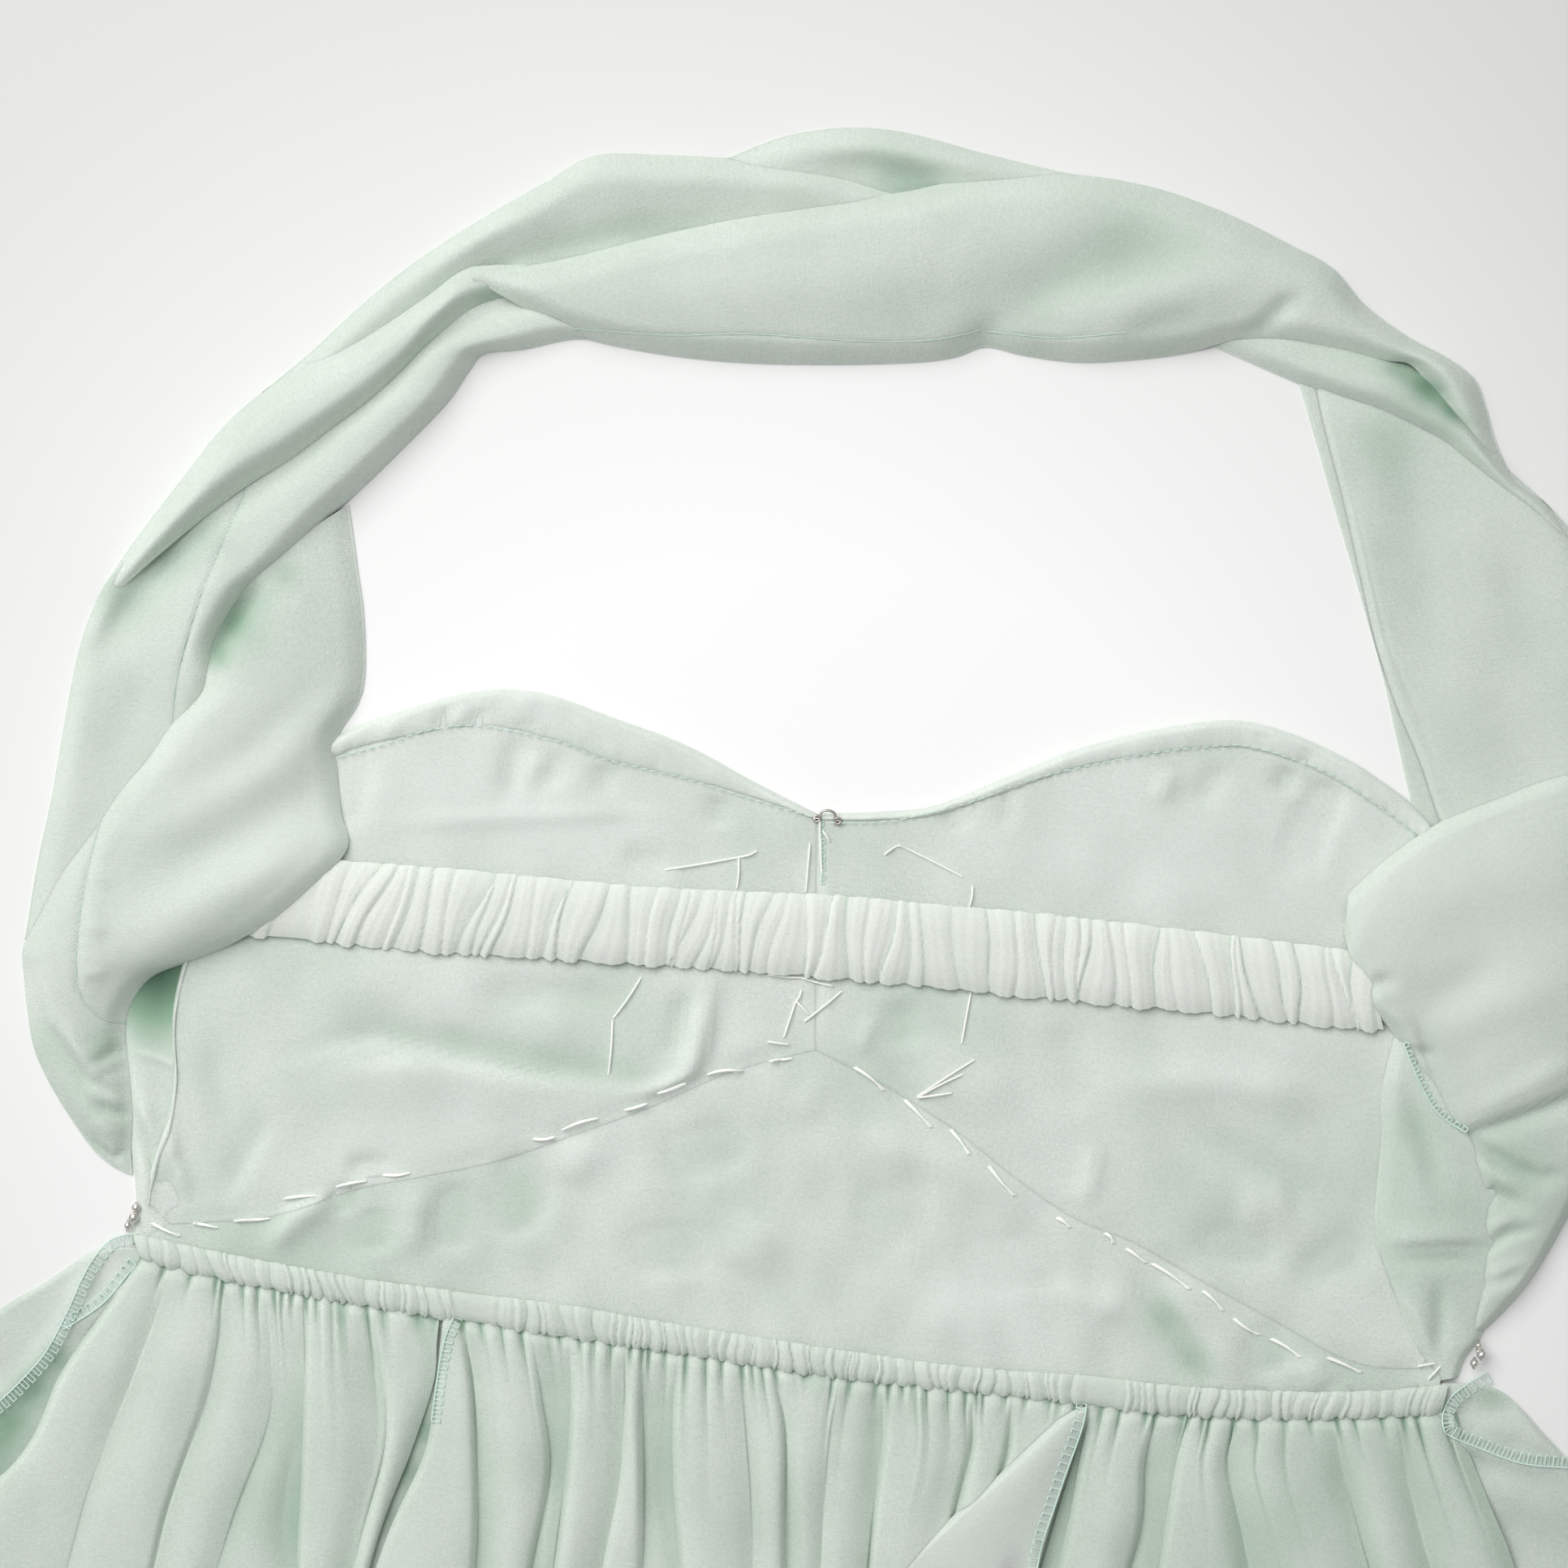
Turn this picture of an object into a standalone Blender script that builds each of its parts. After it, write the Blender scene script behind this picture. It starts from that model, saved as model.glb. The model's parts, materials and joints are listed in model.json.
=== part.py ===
"""Mint chiffon midi dress with a gathered hem ruffle, laid flat on its front with the open back up."""

import math
from collections import namedtuple

import bmesh
import bpy

# All sizes below are in millimetres, and MM turns them into metres.
# X runs across the dress, Y from the hem towards the neck, Z up from the floor that it lies on.
MM = 0.001
CLOTH = 1.2
SEAM_GAP = 0.4
LAYER_GAP = 0.4
SECOND_LAYER = CLOTH + LAYER_GAP
FACING_WALL = 1.0
EDGE_FADE = 4

BAND_RIDGE = 1.5
BAND_GATHERS = 36
BAND_WIDTH = 20.5
BAND_SCALLOP = 0.7
BAND_MARGIN = 3.0
BAND_FADE = 8.0
CASING_RIDGE = 1.3
CASING_GATHERS = 92
SKIRT_SEAMS = (-86, 78)
SEAM_PATCH_HALF = 8.0
CASING_GAP = 1.0
RUFFLE_WAVES = 22
FRONT_RUFFLE_WAVES = 16
RUFFLE_HEIGHT = 9.0
FRONT_RUFFLE_HEIGHT = 1.6
RUFFLE_DRIFT = 0.6
HOOK_WIRE = 0.6
HOOK_RADIUS = 2.3
HOOK_CENTRE = (-5.0, 369.0)
HOOK_SHANK = 3.4
HOOK_HEIGHT = SECOND_LAYER + FACING_WALL + LAYER_GAP + HOOK_WIRE
INSET_LEFT = (-160.0, 241.0)
INSET_RIGHT = (160.5, 238.8)

MINT = (0.62, 0.70, 0.62)
MINT_LIGHT = (0.70, 0.77, 0.70)
MINT_DEEP = (0.55, 0.63, 0.55)
STEEL = (0.45, 0.45, 0.46)
SILVER = (0.80, 0.80, 0.81)

# The front, one row per section from the side to the centre: the inset seam, the neck edge above
# it, and how far the neck facing reaches down from that edge.
FrontRow = namedtuple("FrontRow", "seam_x seam_y top_x top_y facing")
FRONT_LEFT = [
    FrontRow(-151, 243, -156, 255, 0),
    FrontRow(-148.6, 243.2, -162.6, 269, 0),
    FrontRow(-144.5, 243.8, -167, 288, 0),
    FrontRow(-140.5, 244.6, -166, 308, 0),
    FrontRow(-136, 246, -159, 332, 0),
    FrontRow(-131, 248, -148, 353, 0),
    FrontRow(-126, 250.3, -137, 367, 0),
    FrontRow(-120.5, 252.9, -129.5, 373.5, 5.5),
    FrontRow(-112, 256.5, -117, 379.5, 7),
    FrontRow(-97, 261, -99, 386.5, 9),
    FrontRow(-79, 267, -82, 388, 11),
    FrontRow(-60, 276, -62, 383.5, 11),
    FrontRow(-42, 285, -44, 379, 8.5),
    FrontRow(-22, 296.5, -25, 371.5, 4),
    FrontRow(-1.5, 304.5, -8, 365.2, 1.5),
]
FRONT_RIGHT = [
    FrontRow(-1.1, 304.5, -7.6, 365, 1.5),
    FrontRow(10, 300.5, 6, 367, 2),
    FrontRow(22, 295.5, 22, 370.5, 2.5),
    FrontRow(38, 287.5, 40, 380, 4),
    FrontRow(54, 277.5, 58, 389.5, 5),
    FrontRow(70, 269, 78, 397, 6.5),
    FrontRow(86, 264.5, 97, 401.3, 7),
    FrontRow(99, 259, 112, 399.5, 6.5),
    FrontRow(111, 254, 126, 395, 6.5),
    FrontRow(120, 250.3, 136, 390.2, 6.5),
    FrontRow(127, 247.4, 145, 384.8, 6),
    FrontRow(132, 245.3, 153, 377, 0),
    FrontRow(138, 242.7, 163, 355, 0),
    FrontRow(145, 240.5, 166, 325, 0),
    FrontRow(151, 239.5, 165, 290, 0),
    FrontRow(156, 239.2, 161.5, 258, 0),
]

# Soft creases pressed into the front cloth: a line, its width and its height.
Crease = namedtuple("Crease", "x1 y1 x2 y2 width height")
CREASES = [
    Crease(-126, 293, -100, 303, 7, 0.8),
    Crease(-100, 303, -40, 301, 9, 0.7),
    Crease(-66, 362, -60, 350, 7, 0.5),
    Crease(62, 312, 112, 306, 9, 0.6),
    Crease(104, 280, 124, 262, 7, 0.7),
    Crease(-30, 262, 20, 284, 10, 0.5),
]

# The bust elastic at the back of the open back, one row per section: its lower and upper edge.
BandRow = namedtuple("BandRow", "low_x low_y top_x top_y")
BAND = [
    BandRow(-133.5, 318.5, -126, 339.5),
    BandRow(-100, 319, -98, 340.3),
    BandRow(-50, 322, -50, 341.3),
    BandRow(0, 324, 0, 344.8),
    BandRow(55, 325, 54, 346),
    BandRow(99, 326, 98, 346),
    BandRow(139.5, 326.3, 131.5, 345.8),
]
WAIST = [
    BandRow(-166, 229, -170.5, 236.3),
    BandRow(-141, 228, -140, 234.6),
    BandRow(-120, 226, -120, 233.8),
    BandRow(-86, 223, -87, 233.2),
    BandRow(-56, 221.5, -57, 233),
    BandRow(-24, 219.5, -24, 232.4),
    BandRow(8, 219.7, 7, 231),
    BandRow(39, 219.7, 38, 230),
    BandRow(78, 220, 77, 229),
    BandRow(113, 220.3, 112, 229.3),
    BandRow(145, 223, 143, 232.6),
    BandRow(170, 229, 170.5, 237),
]

# A side panel or a stretch of the drape, one row per section: its two edges, the height of each
# edge, how far the cloth crowns above them, and how far the section bows along the stretch.
Row = namedtuple("Row", "ax ay bx by edge_a edge_b crown bow", defaults=(1.2, 1.2, 0, 0))
SIDE_PANEL_LEFT = [
    Row(-170.3, 243.2, -153, 244.2),
    Row(-172, 252, -156.8, 253),
    Row(-174, 260, -160.9, 262.5),
    Row(-175, 270, -165.6, 273.5),
    Row(-177, 280, -168.4, 286),
    Row(-179, 291, -168.9, 296),
]
SIDE_PANEL_RIGHT = [
    Row(162, 242, 171, 245),
    Row(159.5, 248, 171.5, 251),
    Row(153.5, 260, 175.5, 262),
    Row(149, 270, 176, 269),
    Row(147, 280, 174, 279),
    Row(147, 294, 170, 293),
    Row(145, 309, 157, 308),
    Row(146, 321, 150, 321.5),
]
DRAPE_LEFT_ROOT = [
    Row(-139.3, 426, -142, 426.5, 2.5, 2.5, 1.5, 0),
    Row(-133, 415, -152.5, 412.5, 3, 3, 4, 1),
    Row(-130, 403, -162, 401, 3, 3.5, 4.5, 1),
    Row(-128.5, 390, -167, 390, 3, 4, 4.5, 1),
    Row(-129.5, 379, -168.5, 378.5, 3, 4.5, 4.5, 1),
    Row(-133, 369, -176.5, 366.5, 3, 4.5, 4.5, 1),
    Row(-131, 357, -184.5, 352.5, 3, 4.5, 5, 1),
    Row(-127.5, 343, -195, 337, 3, 4.5, 5.5, 0),
    Row(-136, 331, -206, 333.5, 3, 2.5, 6.5, 0),
    Row(-147, 320, -206.5, 323, 2.5, 2.5, 6.5, 0),
    Row(-160, 311, -207.5, 312, 2.5, 2.5, 6.5, 0),
    Row(-173, 304.5, -207.5, 301, 2.5, 2.5, 6, 0),
    Row(-178, 297, -205, 288, 2, 2.5, 5.5, 0),
    Row(-179.5, 288, -202.5, 279.5, 2, 2.5, 5, 0),
    Row(-177.5, 277, -197, 273.5, 2, 2, 4.5, 0),
    Row(-176, 266, -190, 264.5, 2, 2, 3.5, 0),
    Row(-174.5, 257, -181, 257.5, 1.5, 1.5, 2, 0),
]
DRAPE_LEFT_BACK = [
    Row(-206, 334.8, -196.3, 338.2, 2.5, 2, 2.5, 0),
    Row(-205.5, 348, -188, 350, 2.5, 2, 3.5, 0),
    Row(-204, 361, -181, 360.5, 2.5, 2, 4.5, 0),
    Row(-203.3, 374, -175, 370, 3, 2, 5.5, 0),
    Row(-202, 387, -172.6, 377.5, 3, 2, 6, 0),
    Row(-198.4, 400.4, -172.2, 382.6, 3, 2.5, 5.5, 0),
]
# The two rolls of the left strap, one row per section: outer, middle and inner edge.
StrapRow = namedtuple("StrapRow", "outer_x outer_y middle_x middle_y inner_x inner_y")
LEFT_STRAP = [
    StrapRow(-196.8, 404.2, -195.3, 402.3, -171.3, 384.3),
    StrapRow(-187, 420, -184, 413.5, -168.6, 396),
    StrapRow(-178, 435, -174, 423, -163.3, 403.5),
    StrapRow(-169, 449, -163, 433, -152, 416),
    StrapRow(-156, 461.5, -151, 442, -140.3, 429.3),
    StrapRow(-141, 472.5, -138, 454, -129.5, 443),
    StrapRow(-127, 483, -128, 465, -119.3, 455),
    StrapRow(-118, 490.5, -120, 474, -112, 466.5),
    StrapRow(-112.6, 493.6, -112.6, 484.5, -105, 474.5),
]
DRAPE_UPPER = [
    Row(-159, 460.3, -158.6, 462, 1.5, 1.5, 0.5),
    Row(-150.5, 466.3, -149.5, 470.5, 2, 1.5, 1.5),
    Row(-140.5, 473.5, -138, 484, 2.5, 1.5, 3),
    Row(-126.5, 484.5, -125, 497, 2.5, 1.5, 4),
    Row(-112.5, 495, -109, 510, 2.5, 1.5, 4.5),
    Row(-98.3, 497.2, -96, 519, 2.5, 1.5, 5),
    Row(-84.3, 501.8, -83, 528.5, 2.5, 1.5, 5),
    Row(-66.2, 509.1, -66, 530, 2.5, 1.5, 5),
    Row(-46.2, 515.8, -48, 531, 2.5, 1.5, 4.5),
    Row(-26.2, 521.8, -28, 529.3, 2.5, 1.5, 3),
    Row(-8, 526.5, -10, 527.6, 2, 1.5, 0.5),
]
DRAPE_TOP_BACK = [
    Row(-47, 531.7, -46, 533, 1.5, 1.5, 0.5),
    Row(-37, 531, -36, 538.5, 2, 1.5, 2.5),
    Row(-24, 529.8, -23, 541.9, 2, 1.5, 4),
    Row(-11, 528.3, -12, 543, 2, 1.5, 4.5),
    Row(1, 529.2, -1, 542.3, 2, 1.5, 4.5),
    Row(15, 534.2, 14, 540, 2, 1.5, 3),
    Row(30, 537.2, 31, 538.4, 1.5, 1.5, 0.5),
]
DRAPE_TOP_FRONT = [
    Row(-111.2, 491.4, -111.4, 493.6, 2.5, 2.5, 0.5),
    Row(-98, 486.9, -98.3, 496.6, 3, 3, 3),
    Row(-84, 481.2, -84.3, 501.2, 3.5, 4, 5),
    Row(-64, 479, -66.2, 508.5, 3.5, 4.5, 6.5),
    Row(-42, 479, -46.2, 515.2, 3.5, 4.5, 7.5),
    Row(-19, 481, -26.2, 521.2, 3.5, 4.5, 8),
    Row(3, 484, -4, 527, 3.5, 4.5, 8),
    Row(20, 489, 17, 533.6, 3.5, 4, 8),
    Row(40, 489, 40, 536.6, 3.5, 3, 8),
    Row(60, 491.3, 62, 535.5, 3.5, 3, 8),
    Row(79.5, 496.8, 85, 529.5, 3.5, 3, 7.5),
    Row(96, 500.4, 106, 522, 3.5, 3, 6.5),
    Row(111, 499.8, 120, 511, 3, 3, 5),
    Row(125, 497.6, 136, 503, 3, 2.5, 3.5),
    Row(139, 495.5, 149.5, 494.6, 3, 2.5, 2.5),
    Row(149, 485, 154.3, 484, 2.5, 2.5, 1.5),
    Row(157.5, 473.6, 159.5, 473.4, 2.5, 2.5, 0.5),
]
DRAPE_RIGHT_STRAND = [
    Row(84, 495.6, 88, 498.2, 2, 2, 0.5),
    Row(94, 492.8, 103, 498.8, 2.5, 2.5, 3),
    Row(106, 489, 117, 497.4, 3, 2.5, 4),
    Row(114.5, 487.1, 128.5, 494.8, 3, 2.5, 5),
    Row(124, 484.9, 138, 489.3, 3, 2.5, 5),
    Row(134, 481.2, 145, 482.8, 3, 2.5, 5),
    Row(142, 478.6, 151, 477.4, 3, 2.5, 5),
    Row(150, 472.8, 157.3, 473.2, 3, 2.5, 4.5),
    Row(158, 467.9, 164, 469.6, 3, 2.5, 4),
    Row(166, 463.7, 170.5, 465.8, 3, 2.5, 3),
    Row(174, 459.4, 177, 461, 2.5, 2.5, 1),
]
DRAPE_RIGHT_FALL = [
    Row(107.2, 487.9, 112.5, 486.5, 2, 2, 0.5),
    Row(112, 477, 133.6, 480.5, 2, 2, 2, -2),
    Row(118, 461, 156.8, 467.2, 2, 2, 3, -4),
    Row(124, 444, 178, 456.4, 2, 2, 3.5, -4),
    Row(130, 427, 190, 438.5, 2, 2, 3.5, -3),
    Row(137, 411, 198, 419, 2, 2, 3.5, -1),
    Row(145.5, 396.8, 203, 408, 2, 2, 3.5, 2),
    Row(151.6, 382.8, 205, 403.2, 2, 2, 3, 3.6),
]
DRAPE_RIGHT_ROOT = [
    Row(131.3, 352, 131.5, 360.5, 2, 2, 1.5),
    Row(133.6, 344, 137.5, 367, 2.5, 2.5, 3.5),
    Row(139, 337.8, 145, 374.3, 2.5, 2.5, 4.5),
    Row(142, 328, 152, 380.8, 2.5, 2.5, 5),
    Row(148.5, 325.3, 158, 384.4, 2.5, 2.5, 5.5),
    Row(155, 317, 164, 387.6, 2.5, 2.5, 6),
    Row(160, 308.5, 170, 390.8, 2.5, 2.5, 6),
    Row(167, 302.5, 176, 393.8, 2.5, 2.5, 6),
    Row(172.2, 293, 182, 396.8, 2.5, 2.5, 6),
    Row(176.8, 279, 188, 398.8, 2.5, 2.5, 6),
    Row(178.4, 263, 193.5, 400.3, 2.5, 2.5, 6),
    Row(178.9, 255, 199, 401.3, 2.5, 2.5, 6),
    Row(179.5, 248, 203.5, 401.6, 2.5, 2.5, 6),
    Row(185, 259, 205.5, 388, 2.5, 2.5, 6),
    Row(191.5, 269, 206.5, 365, 2.5, 2.5, 5.5),
    Row(197, 284, 207.5, 335, 2.5, 2.5, 4.5),
    Row(203, 301, 207.5, 312, 2, 2, 1.5),
]

# The skirt laid flat, one row per line across it: its height at the centre, where it reaches the
# silhouette, and how far inside that each side of the upper layer stops.
SkirtRow = namedtuple("SkirtRow", "centre_y side_x side_y back_left back_right back_side_y")
SKIRT = [
    SkirtRow(224, 169.5, 236, -168, 169.5, 228.5),
    SkirtRow(217, 181, 234.5, -172.5, 173, 222.5),
    SkirtRow(206, 193, 225, -179, 182, 214),
    SkirtRow(187, 206, 214, -190, 196, 200),
    SkirtRow(160, 226, 190, -209, 214, 176),
    SkirtRow(106, 254, 152, -240, 242, 143),
    SkirtRow(3, 293, 59, -282, 283, 52),
    SkirtRow(-124, 320, -65, -311, 311, -70),
    SkirtRow(-224, 334, -164, -326, 326, -169),
    SkirtRow(-324, 346, -263, -339, 339, -268),
    SkirtRow(-414, 356, -352, -350, 350, -357),
]
HEM = [
    SkirtRow(-414.7, 356.3, -352.7, -350.4, 350.4, -357.7),
    SkirtRow(-455, 362, -391, -357, 357, -396),
    SkirtRow(-500, 372, -434, -368, 368, -438),
    SkirtRow(-543, 385, -474, -381.5, 381.5, -478),
]

# The folds of the upper skirt layer, one row per crease, as a share of the way from the left side
# to the right: at the waist, where the pleats open out, and at the hem. Then the height of the
# fold to the right of the crease, and how far its ridge leans.
Fold = namedtuple("Fold", "waist open hem height lean")
BACK_LEFT_FOLDS = [
    Fold(0.000, 0.000, 0.000, 2.2, 1.0),
    Fold(0.035, 0.050, 0.055, 5.5, 0.8),
    Fold(0.135, 0.190, 0.125, 4.2, 1.3),
    Fold(0.185, 0.235, 0.180, 6.5, 0.9),
    Fold(0.224, 0.255, 0.222, 1.4, 1.0),
    Fold(0.243, 0.274, 0.252, 0, 1.0),
]
BACK_CENTRE_FOLDS = [
    Fold(0.2455, 0.277, 0.255, 3.0, 1.0),
    Fold(0.282, 0.318, 0.305, 5.2, 0.9),
    Fold(0.334, 0.362, 0.352, 6.5, 1.1),
    Fold(0.375, 0.400, 0.402, 4.4, 1.0),
    Fold(0.418, 0.442, 0.440, 6.0, 0.8),
    Fold(0.466, 0.494, 0.492, 4.0, 1.0),
    Fold(0.500, 0.512, 0.515, 5.6, 1.2),
    Fold(0.578, 0.566, 0.572, 6.2, 0.9),
    Fold(0.643, 0.612, 0.626, 4.8, 1.0),
    Fold(0.690, 0.650, 0.678, 7.0, 0.7),
    Fold(0.730, 0.672, 0.728, 0, 1.0),
]
BACK_RIGHT_FOLDS = [
    Fold(0.7325, 0.675, 0.731, 3.0, 1.0),
    Fold(0.781, 0.728, 0.772, 5.6, 1.0),
    Fold(0.848, 0.806, 0.834, 6.4, 1.1),
    Fold(0.926, 0.880, 0.900, 4.6, 0.9),
    Fold(0.968, 0.945, 0.950, 3.0, 1.0),
    Fold(1.000, 1.000, 1.000, 0, 1.0),
]
STEPS_PER_FOLD = 4
SKIRT_STEPS = 11
# The pleats have opened out after this share of the skirt's length, and they keep their hem places
# from the second share on.
OPEN_SHARE = 0.25
HEM_SHARE = 0.8
WAIST_LIFT = 0.45
LIFT_SHARE = 0.11

Bead = namedtuple("Bead", "name x y z size")
BEADS = [
    Bead("bead_left", -171.3, 241.6, 1.9, 3.0),
    Bead("bead_right", 178.0, 246.6, 3.1, 3.0),
]


def start_scene():
    for item in list(bpy.data.objects):
        bpy.data.objects.remove(item, do_unlink=True)
    collection = bpy.data.collections.new("ruffled_midi_dress")
    bpy.context.scene.collection.children.link(collection)
    return collection


def cloth_material(name, colour, roughness=0.85, metallic=0.0):
    material = bpy.data.materials.new(name)
    material.use_nodes = True
    shader = material.node_tree.nodes["Principled BSDF"]
    shader.inputs["Base Color"].default_value = (*colour, 1.0)
    shader.inputs["Roughness"].default_value = roughness
    shader.inputs["Metallic"].default_value = metallic
    return material


def mix(start, end, share):
    return start + (end - start) * share


def spline(before, start, end, after, share):
    """Catmull-Rom curve through four values, read between the middle two."""
    bend = 2 * before - 5 * start + 4 * end - after
    twist = -before + 3 * start - 3 * end + after
    return start + 0.5 * share * (end - before + share * (bend + share * twist))


def row_at(rows, share):
    """The row at a share of the way along a table, smoothed between the rows."""
    position = share * (len(rows) - 1)
    index = min(int(position), len(rows) - 2)
    four = [rows[max(index - 1, 0)], rows[index], rows[index + 1], rows[min(index + 2, len(rows) - 1)]]
    return type(rows[0])(*(spline(*column, position - index) for column in zip(*four)))


def crown_at(share):
    """Height across a stuffed fold: steep at its edges and round in the middle."""
    return math.sqrt(max(0.0, 1 - (2 * share - 1) ** 2))


def crease_height(x, y):
    """How far the pressed creases lift the front cloth at a point."""
    height = 0.0
    for crease in CREASES:
        run_x = crease.x2 - crease.x1
        run_y = crease.y2 - crease.y1
        length = math.hypot(run_x, run_y)
        along = ((x - crease.x1) * run_x + (y - crease.y1) * run_y) / length
        away = ((x - crease.x1) * run_y - (y - crease.y1) * run_x) / length
        past_end = max(0.0, -along, along - length)
        height += crease.height * math.exp(-(away**2 + past_end**2) / crease.width**2)
    return height


def edge_fade(along):
    """Fades the creases out towards the two seams of a piece, so that it stays flat there."""
    return min(1, EDGE_FADE * along, EDGE_FADE * (1 - along))


def cloth_grid(across, along, surface):
    """A grid whose points are read from surface(share across, share along), facing up."""
    mesh = bmesh.new()
    bmesh.ops.create_grid(mesh, x_segments=across, y_segments=along, size=0.5)
    for vert in mesh.verts:
        x, y, z = surface(vert.co.x + 0.5, vert.co.y + 0.5)
        vert.co = (x * MM, y * MM, z * MM)
    mesh.normal_update()
    if sum(face.normal.z for face in mesh.faces) < 0:
        bmesh.ops.reverse_faces(mesh, faces=mesh.faces[:])
    return mesh


def add_object(collection, name, mesh, material):
    data = bpy.data.meshes.new(name)
    mesh.to_mesh(data)
    mesh.free()
    item = bpy.data.objects.new(name, data)
    item.data.materials.append(material)
    item.data.shade_smooth()
    collection.objects.link(item)
    return item


def add_laid(collection, name, across, along, surface, under, material):
    """A piece of cloth whose underside is flat at the height under."""
    mesh = cloth_grid(across, along, surface)
    grown = bmesh.ops.extrude_face_region(mesh, geom=mesh.faces[:])
    for item in grown["geom"]:
        if isinstance(item, bmesh.types.BMVert):
            item.co.z = under * MM
    bmesh.ops.recalc_face_normals(mesh, faces=mesh.faces[:])
    return add_object(collection, name, mesh, material)


def add_walled(collection, name, across, along, surface, wall, material):
    """A waved piece of cloth, as an open surface with a wall below it."""
    item = add_object(collection, name, cloth_grid(across, along, surface), material)
    solid = item.modifiers.new("wall", "SOLIDIFY")
    solid.thickness = wall * MM
    solid.offset = -1
    return item


def stretch_surface(rows, base):
    """Surface of one stretch of the drape, crowned between its two edges."""

    def surface(across, along):
        row = row_at(rows, along)
        bow = row.bow * 4 * across * (1 - across)
        edge = mix(row.edge_a, row.edge_b, across)
        height = base + edge + row.crown * crown_at(across)
        return mix(row.ax, row.bx, across), mix(row.ay, row.by, across) + bow, height

    return surface


def add_front(collection, side, rows, material, facing_material):
    """One half of the front bodice and the neck facing that shows on it."""
    band_middle = [((row.low_x + row.top_x) / 2, (row.low_y + row.top_y) / 2) for row in BAND]

    def bodice(across, along):
        row = row_at(rows, across)
        x = mix(row.seam_x, row.top_x, along)
        y = mix(row.seam_y + SEAM_GAP / 2, row.top_y, along)
        past_band = abs(y - height_on(band_middle, x)) - BAND_WIDTH / 2 - BAND_MARGIN
        clear = min(1, max(0, past_band) / BAND_FADE)
        return x, y, CLOTH + crease_height(x, y) * edge_fade(along) * clear

    add_laid(collection, f"bodice_front_{side}", 2 * (len(rows) - 1), 7, bodice, 0, material)
    faced = [row for row in rows if row.facing]

    def facing(across, along):
        row = row_at(faced, across)
        length = math.hypot(row.top_x - row.seam_x, row.top_y - row.seam_y)
        share = 1 - row.facing * (1 - along) / length
        x, y = mix(row.seam_x, row.top_x, share), mix(row.seam_y, row.top_y, share)
        return x, y, SECOND_LAYER + FACING_WALL

    steps = 2 * (len(faced) - 1)
    add_laid(collection, f"neck_facing_{side}", steps, 1, facing, SECOND_LAYER, facing_material)


def height_on(line, x):
    """Height at x of a line across the dress, given as its points from left to right."""
    x = min(line[-1][0], max(line[0][0], x))
    for first, second in zip(line, line[1:]):
        if x <= second[0]:
            return mix(first[1], second[1], (x - first[0]) / (second[0] - first[0]))
    return line[-1][1]


def add_inset(collection, material):
    """The midriff inset, an upside-down V between the bodice seam and the waist."""
    inner = [(row.seam_x, row.seam_y) for row in FRONT_LEFT + FRONT_RIGHT]
    seam = [INSET_LEFT, *inner, INSET_RIGHT]

    def surface(across, along):
        x = mix(INSET_LEFT[0], INSET_RIGHT[0], across)
        low = skirt_line(SKIRT[0], x, SKIRT[0].side_x, SKIRT[0].side_y) + SEAM_GAP
        y = mix(low, height_on(seam, x) - SEAM_GAP, along)
        return x, y, CLOTH + crease_height(x, y) * edge_fade(along)

    add_laid(collection, "midriff_inset", 38, 4, surface, 0, material)


def gathered_surface(rows, gathers, ridge, wander, patches=()):
    """A gathered band, with a ridge across it for each gather and plain patches at its seams."""

    def surface(across, along):
        row = row_at(rows, across)
        x = mix(row.low_x, row.top_x, along)
        scallop = wander * math.sin(math.tau * gathers * across + math.pi / 2) * (1 - along)
        y = mix(row.low_y, row.top_y, along) + scallop
        wave = 0.5 - 0.5 * math.cos(math.tau * gathers * across)
        for patch in patches:
            wave *= min(1, (abs(x - patch) / SEAM_PATCH_HALF) ** 4)
        crown = 1 - 0.35 * (2 * along - 1) ** 2
        return x, y, SECOND_LAYER + CLOTH + ridge * wave * crown

    return surface


def add_band(collection, material):
    surface = gathered_surface(BAND, BAND_GATHERS, BAND_RIDGE, BAND_SCALLOP)
    add_laid(collection, "back_band", 3 * BAND_GATHERS, 2, surface, SECOND_LAYER, material)


def add_casing(collection, material):
    surface = gathered_surface(WAIST, CASING_GATHERS, CASING_RIDGE, 0.0, SKIRT_SEAMS)
    add_laid(collection, "waist_casing", 2 * CASING_GATHERS, 1, surface, SECOND_LAYER, material)


def skirt_line(row, x, side_x, side_y):
    """Height along the dress at x on one line across the skirt, which sags in the middle."""
    return row.centre_y + (side_y - row.centre_y) * (x / side_x) ** 2


def add_skirt_front(collection, material):
    def surface(across, along):
        row = row_at(SKIRT, along)
        x = mix(-row.side_x, row.side_x, across)
        return x, skirt_line(row, x, row.side_x, row.side_y), CLOTH

    add_laid(collection, "skirt_front", 10, 10, surface, 0, material)


def crease_place(fold, along):
    """Where a crease lies across the skirt, as a share, at a share of the way down it."""
    if along < OPEN_SHARE:
        return mix(fold.waist, fold.open, along / OPEN_SHARE)
    return mix(fold.open, fold.hem, min(1, (along - OPEN_SHARE) / (HEM_SHARE - OPEN_SHARE)))


def fold_at(folds, across, along):
    """Share across the skirt and height of the folds at a place on a panel."""
    position = across * (len(folds) - 1)
    index = min(int(position + 1e-6), len(folds) - 2)
    share = min(1, max(0, position - index))
    first, second = folds[index], folds[index + 1]
    ridge = max(0.0, math.sin(math.pi * share**first.lean)) ** 1.2
    place = mix(crease_place(first, along), crease_place(second, along), share)
    return place, first.height * ridge


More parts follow.
